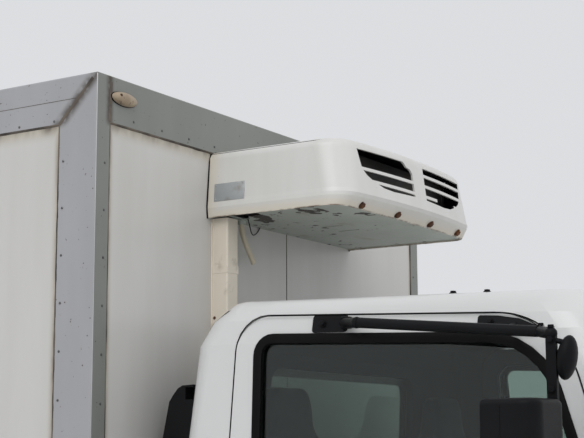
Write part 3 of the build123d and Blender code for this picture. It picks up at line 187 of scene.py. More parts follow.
# %% Plain finishes
finish_rows = (
    # slot, colour (three numbers), second tone (three), dirt (three),
    # dirt from, roughness, metal, coat, grain size, grain depth
    ("duct_plastic", 0.8, 0.73, 0.62, 0.71, 0.645, 0.54, 0.3, 0.25, 0.17,
     0.62, 0.45, 0, 0, 60, 0.1),
    ("hose_plastic", 0.66, 0.6, 0.48, 0.58, 0.52, 0.4, 0.28, 0.24, 0.18, 0.6, 0.5, 0, 0, 200, 0.1),
    ("trim_plastic", 0.0065, 0.0068, 0.0075, 0.01, 0.0104, 0.0112, 0.07, 0.07, 0.065,
     0.66, 0.42, 0, 0, 900, 0.25),
    ("bumper_plastic", 0.06, 0.062, 0.064, 0.08, 0.08, 0.08, 0.16, 0.14, 0.12,
     0.58, 0.6, 0, 0, 700, 0.3),
    ("lamp_red", 0.36, 0.012, 0.008, 0.3, 0.01, 0.008, 0.16, 0.06, 0.05,
     0.7, 0.18, 0, 0.6, 120, 0.05),
    ("lamp_amber", 0.62, 0.17, 0.012, 0.55, 0.14, 0.01, 0.22, 0.1, 0.05,
     0.7, 0.18, 0, 0.6, 120, 0.05),
    ("chassis_paint", 0.028, 0.029, 0.031, 0.04, 0.04, 0.041, 0.12, 0.085, 0.055,
     0.58, 0.48, 0, 0, 300, 0.2),
    ("cast_black", 0.035, 0.033, 0.031, 0.055, 0.05, 0.045, 0.14, 0.075, 0.04,
     0.55, 0.68, 0, 0, 250, 0.45),
    ("galvanised", 0.36, 0.37, 0.37, 0.46, 0.47, 0.47, 0.2, 0.16, 0.12,
     0.6, 0.42, 0.85, 0, 90, 0.12),
    ("rim_paint", 0.52, 0.53, 0.54, 0.58, 0.59, 0.6, 0.16, 0.11, 0.07,
     0.56, 0.38, 0, 0.2, 160, 0.1),
    ("bright_steel", 0.62, 0.62, 0.62, 0.52, 0.52, 0.52, 0.25, 0.18, 0.12,
     0.62, 0.3, 1, 0, 260, 0.08),
    ("rivet_head", 0.155, 0.155, 0.155, 0.105, 0.105, 0.105, 0.25, 0.18, 0.12,
     0.62, 0.3, 1, 0, 260, 0.08),
    ("rusty_screw", 0.085, 0.035, 0.016, 0.04, 0.018, 0.01, 0.16, 0.06, 0.02,
     0.5, 0.85, 0, 0, 500, 0.6),
    ("rubber_seal", 0.0035, 0.0034, 0.0034, 0.006, 0.0058, 0.0058, 0.03, 0.03, 0.028,
     0.68, 0.46, 0, 0, 500, 0.15),
    ("mirror_face", 0.78, 0.8, 0.81, 0.74, 0.76, 0.77, 0.55, 0.56, 0.56, 0.74, 0.04, 1, 0, 60, 0),
    ("blank_plate", 0.45, 0.47, 0.48, 0.38, 0.4, 0.41, 0.24, 0.22, 0.19,
     0.58, 0.4, 0.5, 0, 150, 0.15),
    ("white_plate", 0.74, 0.74, 0.71, 0.68, 0.68, 0.65, 0.35, 0.31, 0.25,
     0.6, 0.35, 0, 0.3, 90, 0.05),
    ("joint_sealant", 0.17, 0.14, 0.112, 0.085, 0.068, 0.055, 0.03, 0.026, 0.022,
     0.46, 0.75, 0, 0, 120, 0.5),
    ("lamp_white", 0.62, 0.62, 0.6, 0.55, 0.55, 0.53, 0.28, 0.26, 0.22,
     0.68, 0.18, 0, 0.6, 120, 0.05),
)
for slot, *numbers in finish_rows:
    colour, tone, dirt = numbers[:3], numbers[3:6], numbers[6:9]
    dirt_from, roughness, metal, coat, size, depth = numbers[9:]
    start_finish(slot, roughness, metal, coat)
    toned = blend(clouds(3.0, 0.35, 0.65), colour, tone)
    soiled = clouds(9.0, dirt_from, dirt_from + 0.16, detail=8.0)
    paint(soiled, toned, dirt)
    if slot in ("trim_plastic", "rubber_seal", "bumper_plastic"):
        feed(shader, Specular_IOR_Level=0.09)
    if depth > 0:
        grain(size, depth)
print(len(finishes), "plain finishes")

# %% [markdown]
# The box's panels are smooth white sandwich board that has yellowed where old sealant and
# rain gather: under the top rails and beside the posts. Those places are known from the
# model, so dirt is drawn by its distance from those lines, broken up by noise. It stops
# before the rear doors. Painted shade makes the profiles darker and greener in front.

# %% Panel and corner profile finishes
x_way, y_way, z_way = (1, 0, 0), (0, 1, 0), (0, 0, 1)
wall_x = 1.212
face_x = 1.215
roof_z = 2.951
dirt_lines = (
    # normal, offset, width: top rail, side post, front posts, floor rail
    (z_way, 2.798, 0.06), (x_way, 1.061, 0.034), (y_way, 1.037, 0.03), (y_way, -1.037, 0.03),
    (z_way, 0.98, 0.1),
)
start_finish("box_panel", 0.32, coat=0.15)
drips = clouds(5.0, 0.36, 0.66, (1, 1, 0.12), 6.0)
toned = blend(drips, (0.6, 0.59, 0.57), (0.55, 0.538, 0.512))
gather = 0.0
for normal, offset, width in dirt_lines:
    gather = most(gather, beside(normal, offset, width))
gather = times(gather, ramp(here("X"), -2.99, -2.88))
broken = clouds(16.0, 0.3, 0.72, (1, 1, 0.5), 8.0)
yellowed = blend(gather, toned, (0.52, 0.475, 0.39))
brown = times(times(gather, gather), broken)
paint(brown, yellowed, (0.1, 0.075, 0.055))
grain(4.0, 0.05, 0.004, (1, 1, 0.25), 2.0)

start_finish("profile_aluminium", 0.46, metal=0.25)
wiped = clouds(2.2, 0.3, 0.7, (1, 1, 0.3), 5.0)
# Painted shade: the front faces take a darker, greener copy of the metal's colour.
front_shade = ramp(here("X"), 1.2105, 1.214)
toned = blend(front_shade, blend(wiped, (0.425, 0.425, 0.44), (0.335, 0.335, 0.345)),
              blend(wiped, (0.26, 0.27, 0.25), (0.205, 0.213, 0.197)))
mitre = times(beside((1, 0, -1), (face_x - roof_z) / 2 ** 0.5, 0.034),
              combine("SUBTRACT", 1.0, front_shade))
front_seam = most(beside(y_way, 1.038, 0.026), beside(y_way, -1.038, 0.026))
seams = times(most(mitre, front_seam), ramp(here("Z"), 2.78, 2.8))
smear = times(seams, clouds(26.0, 0.22, 0.5, detail=8.0))
specks = clouds(75.0, 0.7, 0.76, detail=2.0)
paint(most(smear, specks), toned, (0.075, 0.062, 0.05))
grain(30.0, 0.1, 0.001, (1, 1, 0.05))
print("box finishes made")

# %% [markdown]
# The hood is a glossy cream moulding. It has yellowed most next to the wall and along its
# lower lip, and rain has left faint grey runs down its face. Its inner side, told by its
# normal, is painted near black as shade. Its floor is a grey-green primed sheet with
# blisters and flakes of rust.

# %% Cooling unit finishes
lip_z = 2.56
start_finish("hood_plastic", 0.34, coat=0.12)
runs = clouds(9.0, 0.42, 0.74, (1, 1, 0.1), 7.0)
toned = blend(runs, (0.66, 0.655, 0.63), (0.62, 0.612, 0.58))
aged = most(beside(x_way, wall_x, 0.07), beside(z_way, lip_z, 0.042))
yellowed = blend(aged, toned, (0.66, 0.61, 0.52))
lip = times(beside(z_way, lip_z, 0.005), clouds(26.0, 0.4, 0.6, detail=8.0))
spots = clouds(60.0, 0.75, 0.82, detail=3.0)
dirty = blend(most(lip, spots), yellowed, (0.16, 0.115, 0.075))
from_middle = node("VectorMath", {"operation": "SUBTRACT"}, i0=here(), i1=(1.45, 0, 2.7))
outward = dot(from_middle.outputs["Vector"], node("NewGeometry").outputs["True Normal"])
# Painted shade: the hood's inward faces above the lip are coloured near black.
inner_shade = times(combine("LESS_THAN", outward, -0.083), combine("GREATER_THAN", here("Z"), 2.58))
paint(inner_shade, dirty, (0.012, 0.012, 0.012))
grain(14.0, 0.04, 0.002)

start_finish("rusty_sheet", 0.5, metal=0.2)
toned = blend(clouds(5.0, 0.3, 0.7), (0.5, 0.54, 0.49), (0.43, 0.465, 0.42))
stains = clouds(11.0, 0.6, 0.8, (1, 0.6, 1), 6.0)
stained = blend(stains, toned, (0.34, 0.3, 0.22))
blisters = times(clouds(34.0, 0.6, 0.625, detail=3.0), clouds(6.5, 0.5, 0.56, detail=2.0))
near_edge = ramp(beside(y_way, -0.335, 0.2), 0.15, 0.25)
flakes = times(clouds(15.0, 0.61, 0.62, (0.8, 0.5, 1), 2.0), near_edge)
flakes = times(flakes, clouds(90.0, 0.28, 0.36, detail=2.0))
paint(most(blisters, flakes), stained, (0.03, 0.02, 0.012))
grain(40.0, 0.25)

start_finish("coil_fins", 0.5, metal=0.6)
fins = node("TexWave", {"bands_direction": "Y"}, Vector=here(), Scale=90.0)
fin_colour = blend(fins.outputs["Fac"], (0.02, 0.02, 0.02), (0.11, 0.11, 0.105))
paint(clouds(12.0, 0.45, 0.65), fin_colour, (0.06, 0.055, 0.045))
print("cooling unit finishes made")

# %% [markdown]
# Cab paint is a hard white gloss under a clear coat, with a film of road dust low down. The
# shell's inner faces are painted dark as the shade inside the cab, told from the paint by
# planes between its two skins.
# The glass is tinted dark and is thin, so it transmits with a green-grey colour.

# %% Cab, glass, lamp and tyre finishes
waist_z = 1.4
start_finish("cab_paint", 0.3, coat=0.4)
film = clouds(2.0, 0.3, 0.75, (1, 1, 0.4), 6.0)
toned = blend(film, (0.66, 0.662, 0.655), (0.615, 0.618, 0.61))
forward, sideways, height = (here(axis) for axis in "XYZ")
road = times(ramp(height, 1.1, 0.62), clouds(14.0, 0.32, 0.7, detail=8.0))
painted = blend(road, toned, (0.4, 0.37, 0.325))


def past(value, limit):
    """How far value is past limit, or 0."""
    return most(0.0, combine("SUBTRACT", value, limit))


def plus(value, share, factor):
    return combine("ADD", value, times(share, factor))


above = past(height, waist_z)
below = most(0.0, combine("SUBTRACT", 1.02, height))
beyond = plus(plus(combine("ABSOLUTE", sideways), above, 0.114), below, 0.2)
bowed = plus(plus(forward, above, 0.344), times(sideways, sideways), 0.046)
bowed = combine("ADD", bowed, past(height, 2.03))
# Painted shade: the cab's inner faces are coloured dark for the shade inside it.
inside_shade = combine("LESS_THAN", beyond, 0.952)
for operation, value, limit in (("LESS_THAN", bowed, 3.068),
                                ("LESS_THAN", combine("ADD", beyond, bowed), 3.93),
                                ("GREATER_THAN", plus(forward, above, -0.0504), 1.432),
                                ("LESS_THAN", plus(height, forward, 0.0244), 2.224)):
    inside_shade = times(inside_shade, combine(operation, value, limit))
feed(shader, Base_Color=blend(inside_shade, painted, (0.05, 0.052, 0.054)),
     Coat_Weight=ramp(inside_shade, 0, 1, 0.4, 0.0), Coat_Roughness=0.06,
     Roughness=ramp(inside_shade, 0, 1, 0.3, 0.75))
grain(9.0, 0.03, 0.003)

start_finish("cab_glass", 0.02)
wet = clouds(55.0, 0.66, 0.74, detail=2.0)
feed(shader, Base_Color=(0.42, 0.51, 0.47, 1), Transmission_Weight=1.0, IOR=1.45,
     Roughness=ramp(wet, 0, 1, 0.02, 0.05))

start_finish("headlamp", 0.06, coat=0.5)
feed(shader, Base_Color=(0.93, 0.95, 0.95, 1), Transmission_Weight=1.0, IOR=1.15)
grain(45.0, 0.25, 0.002, (1, 1, 0.05))

start_finish("lamp_clear", 0.38, coat=0.1)
toned = blend(clouds(18.0, 0.3, 0.7), (0.4, 0.32, 0.22), (0.29, 0.22, 0.15))
paint(clouds(60.0, 0.62, 0.72), toned, (0.1, 0.06, 0.04))
grain(120.0, 0.3)

start_finish("tyre", 0.78)
dusty = clouds(7.0, 0.35, 0.7, detail=6.0)
paint(dusty, (0.02, 0.02, 0.02), (0.05, 0.046, 0.041))
grain(160.0, 0.25)

start_finish("seat_cloth", 0.92)
threads = node("TexWave", {"bands_direction": "DIAGONAL"}, Vector=here(), Scale=220.0,
               Distortion=1.5).outputs["Fac"]
weave = blend(threads, (0.035, 0.04, 0.052), (0.065, 0.072, 0.088))
worn = blend(clouds(4.0, 0.4, 0.7), weave, (0.075, 0.075, 0.08))
bump = node("Bump", Height=threads, Strength=0.35, Distance=0.001)
feed(shader, Base_Color=worn, Sheen_Weight=0.35, Normal=bump.outputs[0])
print(len(finishes), "finishes in all")

# %% [markdown]
# A solid node that keeps its shape only needs its finish. The record says which slot each
# node belongs to. The unit's floor sheet gets the rusty sheet in place of plain zinc.

# %% Dress the solid nodes
own_finish = {"unit_base": "rusty_sheet"}
for row in frame["record"]["subparts"]:
    solid = frame["nodes"][row["node"]]
    solid.data.materials.clear()
    solid.data.materials.append(finishes[own_finish.get(row["node"], row["material_slot"])])
print(len(frame["nodes"]), "nodes dressed")

# %% [markdown]
# Small parts are modelled from a few simple forms. A chain of points is drawn out vertex by
# vertex. A lathe spins such a chain about an axis, a prism fills and extrudes it, and a frame
# insets it to leave a ring. Each form is built at the origin and moved into its place.
# A finished piece rides on its body.


def dress(made, finish, body):
    made.data.materials.append(finishes[finish])
    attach(made, body)
    return made


def piece(name, work, finish, body="chassis", sharp=38):
    """Cleans the mesh, shades it smooth up to the sharp angle and lets it ride on its body."""
    ops.remove_doubles(work, verts=work.verts, dist=0.00004)
    ops.recalc_face_normals(work, faces=work.faces)
    mesh = bpy.data.meshes.new(name)
    work.to_mesh(mesh)
    work.free()
    mesh.shade_smooth()
    mesh.set_sharp_from_angle(angle=radians(sharp))
    return dress(put(name, mesh), finish, body)


def merge(work, part, matrix=Matrix()):
    """Moves a form into place and adds it to the piece being built."""
    ops.transform(part, matrix=matrix, verts=part.verts)
    store = bpy.data.meshes.new("store")
    part.to_mesh(store)
    part.free()
    work.from_mesh(store)
    bpy.data.meshes.remove(store)


def facing(place, way):
    """A matrix that stands local Z along a direction at a place."""
    return shift(place) @ Vector(way).to_track_quat("Z", "Y").to_matrix().to_4x4()


def everything(part):
    return part.verts[:] + part.edges[:] + part.faces[:]


def soften(part, geom, offset, segments=2, affect="EDGES"):
    ops.bevel(part, geom=geom, affect=affect, offset=offset, segments=segments, profile=0.5,
              material=-1)


def chain(part, points, closed=False):
    """Joined points, each drawn out of the one before."""
    verts = [ops.create_vert(part, co=points[0])["vert"][0]]
    edges = []
    for point in points[1:]:
        grown = ops.extrude_vert_indiv(part, verts=[verts[-1]])
        grown["verts"][0].co = point
        verts += grown["verts"]
        edges += grown["edges"]
    if closed:
        edges += ops.contextual_create(part, geom=[verts[-1], verts[0]])["edges"]
    return verts, edges


def lathe(work, rows, matrix, steps=20):
    """Spins rows of (radius, height) about local Z."""
    part = bmesh.new()
    verts, edges = chain(part, [(radius, 0, height) for radius, height in rows])
    ops.spin(part, geom=verts + edges, cent=(0, 0, 0), axis=z_way, angle=2 * pi, steps=steps,
             use_merge=True)
    ops.remove_doubles(part, verts=part.verts, dist=0.00001)
    merge(work, part, matrix)


def stud(work, rows, place, way, steps=12):
    """A lathe form standing on a place, its axis along way."""
    lathe(work, rows, facing(place, way), steps)


def bar(work, start, end, radius, steps=12):
    """A round bar with slightly rounded ends."""
    way = Vector(end) - Vector(start)
    soft = radius * 0.2
    stud(work, ((0, 0), (radius - soft, 0), (radius, soft), (radius, way.length - soft),
                (radius - soft, way.length), (0, way.length)), start, way, steps)


def bolt(work, place, way, size):
    """A hexagon head on a thin washer, size across its corners."""
    washer = ((0, 0), (0.62, 0), (0.62, 0.08), (0, 0.08))
    head = ((0, 0.05), (0.5, 0.05), (0.5, 0.36), (0.42, 0.42), (0, 0.42))
    for rows, steps in ((washer, 16), (head, 6)):
        stud(work, [(size * radius, size * height) for radius, height in rows], place, way, steps)


def block(work, low, high, soft=0.0, steps=2, matrix=Matrix()):
    """A block between two corners with its edges rounded by soft."""
    low, high = Vector(low), Vector(high)
    part = bmesh.new()
    ops.create_cube(part, size=1.0, matrix=shift((low + high) / 2)
                    @ Matrix.Diagonal((*(high - low), 1)))
    if soft > 0:
        soften(part, part.edges[:], soft, steps)
    merge(work, part, matrix)


def outline(part, corners):
    """A flat face in the local XY plane from rows of (x, y, corner radius)."""
    verts, edges = chain(part, [(x, y, 0) for x, y, radius in corners], closed=True)
    ops.contextual_create(part, geom=edges)
    for vert, (x, y, radius) in zip(verts, corners):
        ways = [edge.other_vert(vert).co - vert.co for edge in vert.link_edges]
        reach = radius / tan(ways[0].angle(ways[1]) / 2)
        soften(part, [vert], reach, 6, "VERTICES")


def rounded(half_width, low, high, radius):
    """The outline of a rectangle with rounded corners."""
    return ((-half_width, low, radius), (-half_width, high, radius), (half_width, high, radius),
            (half_width, low, radius))


def draw_out(part, depth, soft):
    """Draws the faces out along local Z and rounds the rims by soft."""
    drawn = ops.extrude_face_region(part, geom=part.faces[:])["geom"]
    lifted = [item for item in drawn if isinstance(item, types.BMVert)]
    ops.translate(part, vec=(0, 0, depth), verts=lifted)
    ops.recalc_face_normals(part, faces=part.faces)
    soften(part, [edge for edge in part.edges if edge.calc_face_angle(0) > 1.0], soft)


def prism(work, corners, matrix, depth, soft):
    """An outline drawn out along local Z."""
    part = bmesh.new()
    outline(part, corners)
    draw_out(part, depth, soft)
    merge(work, part, matrix)


def frame_ring(corners, width, depth, soft, cuts=0):
    """A ring of that width inside an outline, drawn out along local Z; returned unplaced."""
    part = bmesh.new()
    outline(part, corners)
    if cuts:
        long_edges = [edge for edge in part.edges if edge.calc_length() > 0.1]
        ops.subdivide_edges(part, edges=long_edges, cuts=cuts)
    inner = part.faces[:]
    ops.inset_region(part, faces=inner, thickness=width, use_boundary=True, use_even_offset=True)
    ops.delete(part, geom=inner, context="FACES_ONLY")
    draw_out(part, depth, soft)
    return part


def on_skin(name, start, way):
    """The place and normal where a ray first meets a solid node."""
    place, normal = frame["nodes"][name].ray_cast(Vector(start), Vector(way))[1:3]
    return place, normal


def leaning(origin, across, upward):
    """A matrix with local X across, local Y up the slope and local Z out of that plane."""
    across = Vector(across).normalized()
    out = across.cross(Vector(upward)).normalized()
    return shift(origin) @ Matrix((across, out.cross(across), out)).transposed().to_4x4()


def upright(place, normal, sunk=0.0):
    """A matrix on a skin: local Z points level out of it and local Y up."""
    flat = Vector((normal.x, normal.y, 0)).normalized()
    return leaning(place - flat * sunk, Vector(z_way).cross(flat), z_way)


def wire(name, points, radius, finish, body="chassis", smooth=True, closed=False):
    """A curve along points: a smooth spline, or straight runs."""
    curve = bpy.data.curves.new(name, "CURVE")
    curve.dimensions = "3D"
    curve.bevel_depth = radius
    curve.bevel_resolution = 3
    curve.resolution_u = 8
    spline = curve.splines.new("NURBS" if smooth else "POLY")
    spline.points.add(len(points) - 1)
    for point, place in zip(spline.points, points):
        point.co = (*place, 1)
    if smooth:
        spline.order_u = 3
        spline.use_endpoint_u = True
    spline.use_cyclic_u = closed
    curve.use_fill_caps = True
    return dress(put(name, curve), finish, body)


print("shape helpers ready")

# %% [markdown]
# The drain hose is a free cord: 19 mm of stiff plastic, cut off about 15 cm below the unit.
# Its spline repeats the four route points of the solid model, straight down out of the
# spigot first. A short thin wire leaves the hole in the unit's floor and returns to the wall.

# %% Drain hose and wire
hose_route = ((wall_x + 0.038, -0.338, 2.566), (wall_x + 0.038, -0.338, 2.532),
              (wall_x + 0.044, -0.32, 2.482), (wall_x + 0.054, -0.282, 2.418))
hose = wire("drain_hose_soft", hose_route, 0.0095, "hose_plastic")
hose.data.use_fill_caps = False
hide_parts("drain_hose")
mouth = bmesh.new()
hose_end = Vector(hose_route[-1])
hose_way = (hose_end - Vector(hose_route[-2])).normalized()
for rows in (((0.0066, -0.03), (0.0066, 0.0), (0.0098, 0.0002), (0.0098, -0.004)),
             ((0, -0.029), (0.0067, -0.029))):
    stud(mouth, rows, hose_end, hose_way, 20)
mouth_piece = piece("drain_hose_mouth", mouth, "hose_plastic")
loop_route = ((1.3, -0.372, 2.566), (1.3, -0.362, 2.545), (1.262, -0.29, 2.52),
              (1.228, -0.215, 2.535), (1.216, -0.172, 2.56), (1.213, -0.165, 2.572))
loop = wire("sensor_wire", loop_route, 0.002, "rubber_seal")
print("hose and wire placed")

# %% [markdown]
# The box's profiles are riveted through the panels every 152 mm, and the joints beside
# them are filled with sealant that has gone brown. A bead of sealant is a long grid whose
# middle row is lifted, and noise makes its edges wander a little as a gun leaves them.

# %% Rivets, sealant and joints of the box
side_y = 1.1
rivet_pitch = 0.152
rivet_head = ((0.0046, -0.0004), (0.0044, 0.0008), (0.003, 0.0019), (0, 0.0024))
rivet_rows = []
for side in (-1, 1):
    for fall in (row * rivet_pitch for row in range(12)):
        rivet_rows += [((1.078, side * side_y, 2.673 - fall), (0, side, 0)),
                       ((face_x, side * 1.058, 2.66 - fall), x_way)]
    rivet_rows += [((1.036 - row * rivet_pitch, side * side_y, height), (0, side, 0))
                   for row in range(26) for height in (2.809, 0.965)]
rivet_rows += [((face_x, -0.915 + row * rivet_pitch, height), x_way) for row in range(13)
               for height in (2.82, 0.965)]
rivets = bmesh.new()
for place, out in rivet_rows:
    stud(rivets, rivet_head, place, out, 8)
piece("box_rivets", rivets, "rivet_head")


def sealant_bead(work, start, end, out, width, height):
    """A wandering bead from start to end, lifted along out."""
    start, end, out = Vector(start), Vector(end), Vector(out)
    way = end - start
    part = bmesh.new()
    ops.create_grid(part, x_segments=max(6, int(way.length / 0.02)), y_segments=4, size=0.5)
    turn = Matrix((way.normalized(), out.cross(way).normalized(), out)).transposed().to_4x4()
    for vert in part.verts:
        along, across = vert.co.x + 0.5, vert.co.y * 2
        spot = Vector((along * way.length * 22, across, start.x + start.z))
        edge = 1 + 0.32 * noise.noise(spot)
        vert.co = Vector((along * way.length, across * width / 2 * edge, height * (1 - across ** 2)
                          * (1 + 0.3 * noise.noise(spot * 2.1))))
    merge(work, part, shift(start) @ turn)


sealant = bmesh.new()
bead_x = wall_x + 0.0002
thick, thin = 0.0034, 0.0012
for side in (-1, 1):
    out, joint_y, post_y, mitre_y = (0, side, 0), side * 1.0972, side * 1.0345, side * 1.1002
    for bead in (((1.059, joint_y, 0.982), (1.059, joint_y, 2.796), out, 0.012, thick),
                 ((-2.936, joint_y, 2.7955), (1.06, joint_y, 2.7955), out, 0.01, thick),
                 ((-2.936, joint_y, 0.9825), (1.06, joint_y, 0.9825), out, 0.01, thick),
                 ((bead_x, post_y, 0.982), (bead_x, post_y, 2.797), x_way, 0.009, thick),
                 ((1.0595, mitre_y, 2.7965), (1.196, mitre_y, 2.933), out, 0.012, thin),
                 ((1.2152, side * 1.036, 2.8), (1.2152, side * 1.032, 2.93), x_way, 0.013, thin)):
        sealant_bead(sealant, *bead)
sealant_bead(sealant, (bead_x, -1.034, 2.7955), (bead_x, 1.034, 2.7955), x_way, 0.01, thick)
piece("box_sealant", sealant, "joint_sealant", sharp=60)

joints = bmesh.new()
block(joints, (wall_x - 0.001, 0.018, 0.982), (wall_x + 0.0006, 0.0228, 2.796))
for side in (-1, 1):
    near, far = sorted((side * 1.0995, side * 1.1008))
    block(joints, (-2.93, near, 2.8738), (1.128, far, 2.8752))
piece("panel_joint", joints, "joint_sealant")
print("box joints done")

# %% [markdown]
# A marker lamp is a domed oval lens on a black rubber pad, held by one rusty screw. The pad
# also paints the dark shadow ring under the lens. The lens is the front half of a sphere,
# flattened; the pad is a low lathe form with the same scale.

# %% Marker lamps on the front rail
lenses, pads_and_shadow, screws = bmesh.new(), bmesh.new(), bmesh.new()
for side in (-1, 1):
    spot = Vector((face_x, side * 0.97, 2.884))
    part = bmesh.new()
    ops.create_uvsphere(part, u_segments=40, v_segments=24, radius=1.0)
    ops.bisect_plane(part, geom=everything(part), plane_co=(0, 0, 0), plane_no=(-1, 0, 0),
                     clear_outer=True)
    merge(lenses, part, shift(spot + Vector((0.0035, 0, 0)))
          @ Matrix.Diagonal((0.021, 0.0625, 0.0225, 1)))
    # The black pad is a rubber pad and also a painted shadow ring under the lens.
    lathe(pads_and_shadow, ((0, 0.004), (0.97, 0.004), (1, 0.0025), (1, 0)),
          shift(spot) @ Matrix.Diagonal((1, 0.065, 0.0238, 1)) @ facing((0, 0, 0), x_way), 40)
    stud(screws, ((0, 0.003), (0.0035, 0.0026), (0.005, 0.0008), (0.005, -0.006)),
         spot + Vector((0.0195, -0.034, 0.006)), (1, -0.4, 0))
lens_piece = piece("marker_lenses", lenses, "lamp_clear")
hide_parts("marker_lamps")
piece("marker_pads_and_shadow", pads_and_shadow, "rubber_seal")
print("marker lamps done")

# %% [markdown]
# On the cooling unit the photo shows rusted screws in the lip's open notches, a bare metal
# data plate held by four rivets, and a dark gasket where the hood meets the wall. The pipe
# trunking has a base plate that shows as a narrow edge, and one screw that has rusted.

# %% Cooling unit's small parts
beside_notch = Vector((0, 0.022, 0))
for across in (-0.362, -0.122, 0.13, 0.373):
    place, normal = on_skin("unit_hood", Vector((3, across, 2.5735)) - beside_notch, (-1, 0, 0))
    bolt(screws, place + beside_notch - Vector((0.001, 0, 0)), normal, 0.024)
stud(screws, ((0, 0.003), (0.004, 0.0024), (0.0058, 0.0004), (0.0058, -0.001)),
     (1.224, -0.4662, 2.211), (0, -1, 0))
piece("rusty_screws", screws, "rusty_screw")

plate = bmesh.new()
lean = shift((1.305, -0.4952, 2.6455)) @ turned(-3.9, "X")
block(plate, (-0.0635, -0.0012, -0.0315), (0.0635, 0.0012, 0.0315), 0.0008, 2, lean)
for across in (-0.057, 0.057):
    for height in (-0.025, 0.025):
        lathe(plate, ((0.0032, 0), (0.0028, 0.0012), (0, 0.0018)),
              lean @ facing((across, -0.0012, height), (0, -1, 0)), 10)
piece("blank_data_plate", plate, "blank_plate")
half_gasket = ((0.497, 2.558), (0.5005, 2.6), (0.4865, 2.76), (0.478, 2.788), (0.45, 2.7995))
wire("hood_gasket", [(1.2135, -across, height) for across, height in half_gasket]
     + [(1.2135, across, height) for across, height in reversed(half_gasket)], 0.0028,
     "rubber_seal", smooth=False)
trunk = bmesh.new()
block(trunk, (wall_x - 0.001, -0.4715, 1.012), (wall_x + 0.0035, -0.3945, 2.558), 0.001, 1)
for height in (1.06, 1.5, 1.94, 2.38):
    block(trunk, (wall_x, -0.4672, height - 0.014), (wall_x + 0.0668, -0.3988, height + 0.014),
          0.0006, 1)
piece("trunking_base", trunk, "duct_plastic")
print("cooling unit parts done")

# %% [markdown]
# The door glass sits in a black rubber frame about 34 mm wide. The door's upper side leans in,
# so the frame is drawn flat in that leaning plane: its outline follows the window opening,
# an inset leaves the ring, and the ring is drawn out from the glass to just proud of the paint.

# %% Rubber frames of the cab's glass
cab_x = 1.215
upper_z = 0.675
half_cab = 0.985
seal_depth, seal_soft = 0.0165, 0.0028
seal_sunk = 0.0125
into_seat = shift((0, 0, -seal_sunk))
mirror_flip = Matrix.Diagonal((1, -1, 1, 1))
door_sides = ((Matrix(), "door_right", "right"), (mirror_flip, "door_left", "left"))
side_plane = leaning((cab_x, -half_cab, waist_z), x_way, (0, 0.077, upper_z))


def up_slope(rows):
    """Rows of (ahead, height, radius) with each height measured up the leaning side."""
    return [(ahead, (height - waist_z) / 0.9936, radius) for ahead, height, radius in rows]


window_ring = up_slope(((0.502, 1.414, 0.046), (0.468, 2.105, 0.064), (1.4005, 2.069, 0.231),
                        (1.6275, 1.414, 0.046)))
for flip, body, name in door_sides:
    seal = bmesh.new()
    merge(seal, frame_ring(window_ring, 0.03, seal_depth, seal_soft), flip @ side_plane @ into_seat)
    piece("window_rubber_" + name, seal, "rubber_seal", body)


def cab_front(across, height):
    """How far forward the cab's front lies, from the solid's two levels beside the windscreen."""
    share = (height - waist_z) / upper_z
    half = half_cab - 0.077 * share
    corner = 0.165 + 0.005 * share
    bow = 0.045
    bow_r = (half ** 2 + bow ** 2) / (2 * bow)
    bend = min(corner, max(0.0, abs(across) - half + corner + 0.004))
    return (cab_x + 1.83 - 0.232 * share + bow - bow_r + (bow_r ** 2 - across ** 2) ** 0.5 - corner
            + (corner ** 2 - bend ** 2) ** 0.5)


glass_rubber = bmesh.new()
ring = frame_ring(rounded(0.856, 1.434, 2.076, 0.096), 0.036, seal_depth, seal_soft, cuts=30)
for vert in ring.verts:
    across, height, out = vert.co
    vert.co = (cab_front(across, height) - seal_sunk + out, across, height)
merge(glass_rubber, ring)
back_plane = leaning((cab_x + 0.2, 0, waist_z), (0, -1, 0), (0.034, 0, upper_z))
merge(glass_rubber, frame_ring(rounded(0.516, 0.0945, 0.6365, 0.066), 0.032, seal_depth, seal_soft),
      back_plane @ into_seat)
piece("cab_glass_rubber", glass_rubber, "rubber_seal", "cab")
print("glass rubbers done")

# %% [markdown]
# Each mirror head is a moulded shell with a glass face towards the rear, a parting seam
# round it and bolts where its arm is clamped. The two bracket plates are bolted to the door.
# The small close-range mirror on the bracket is a flattened dome.

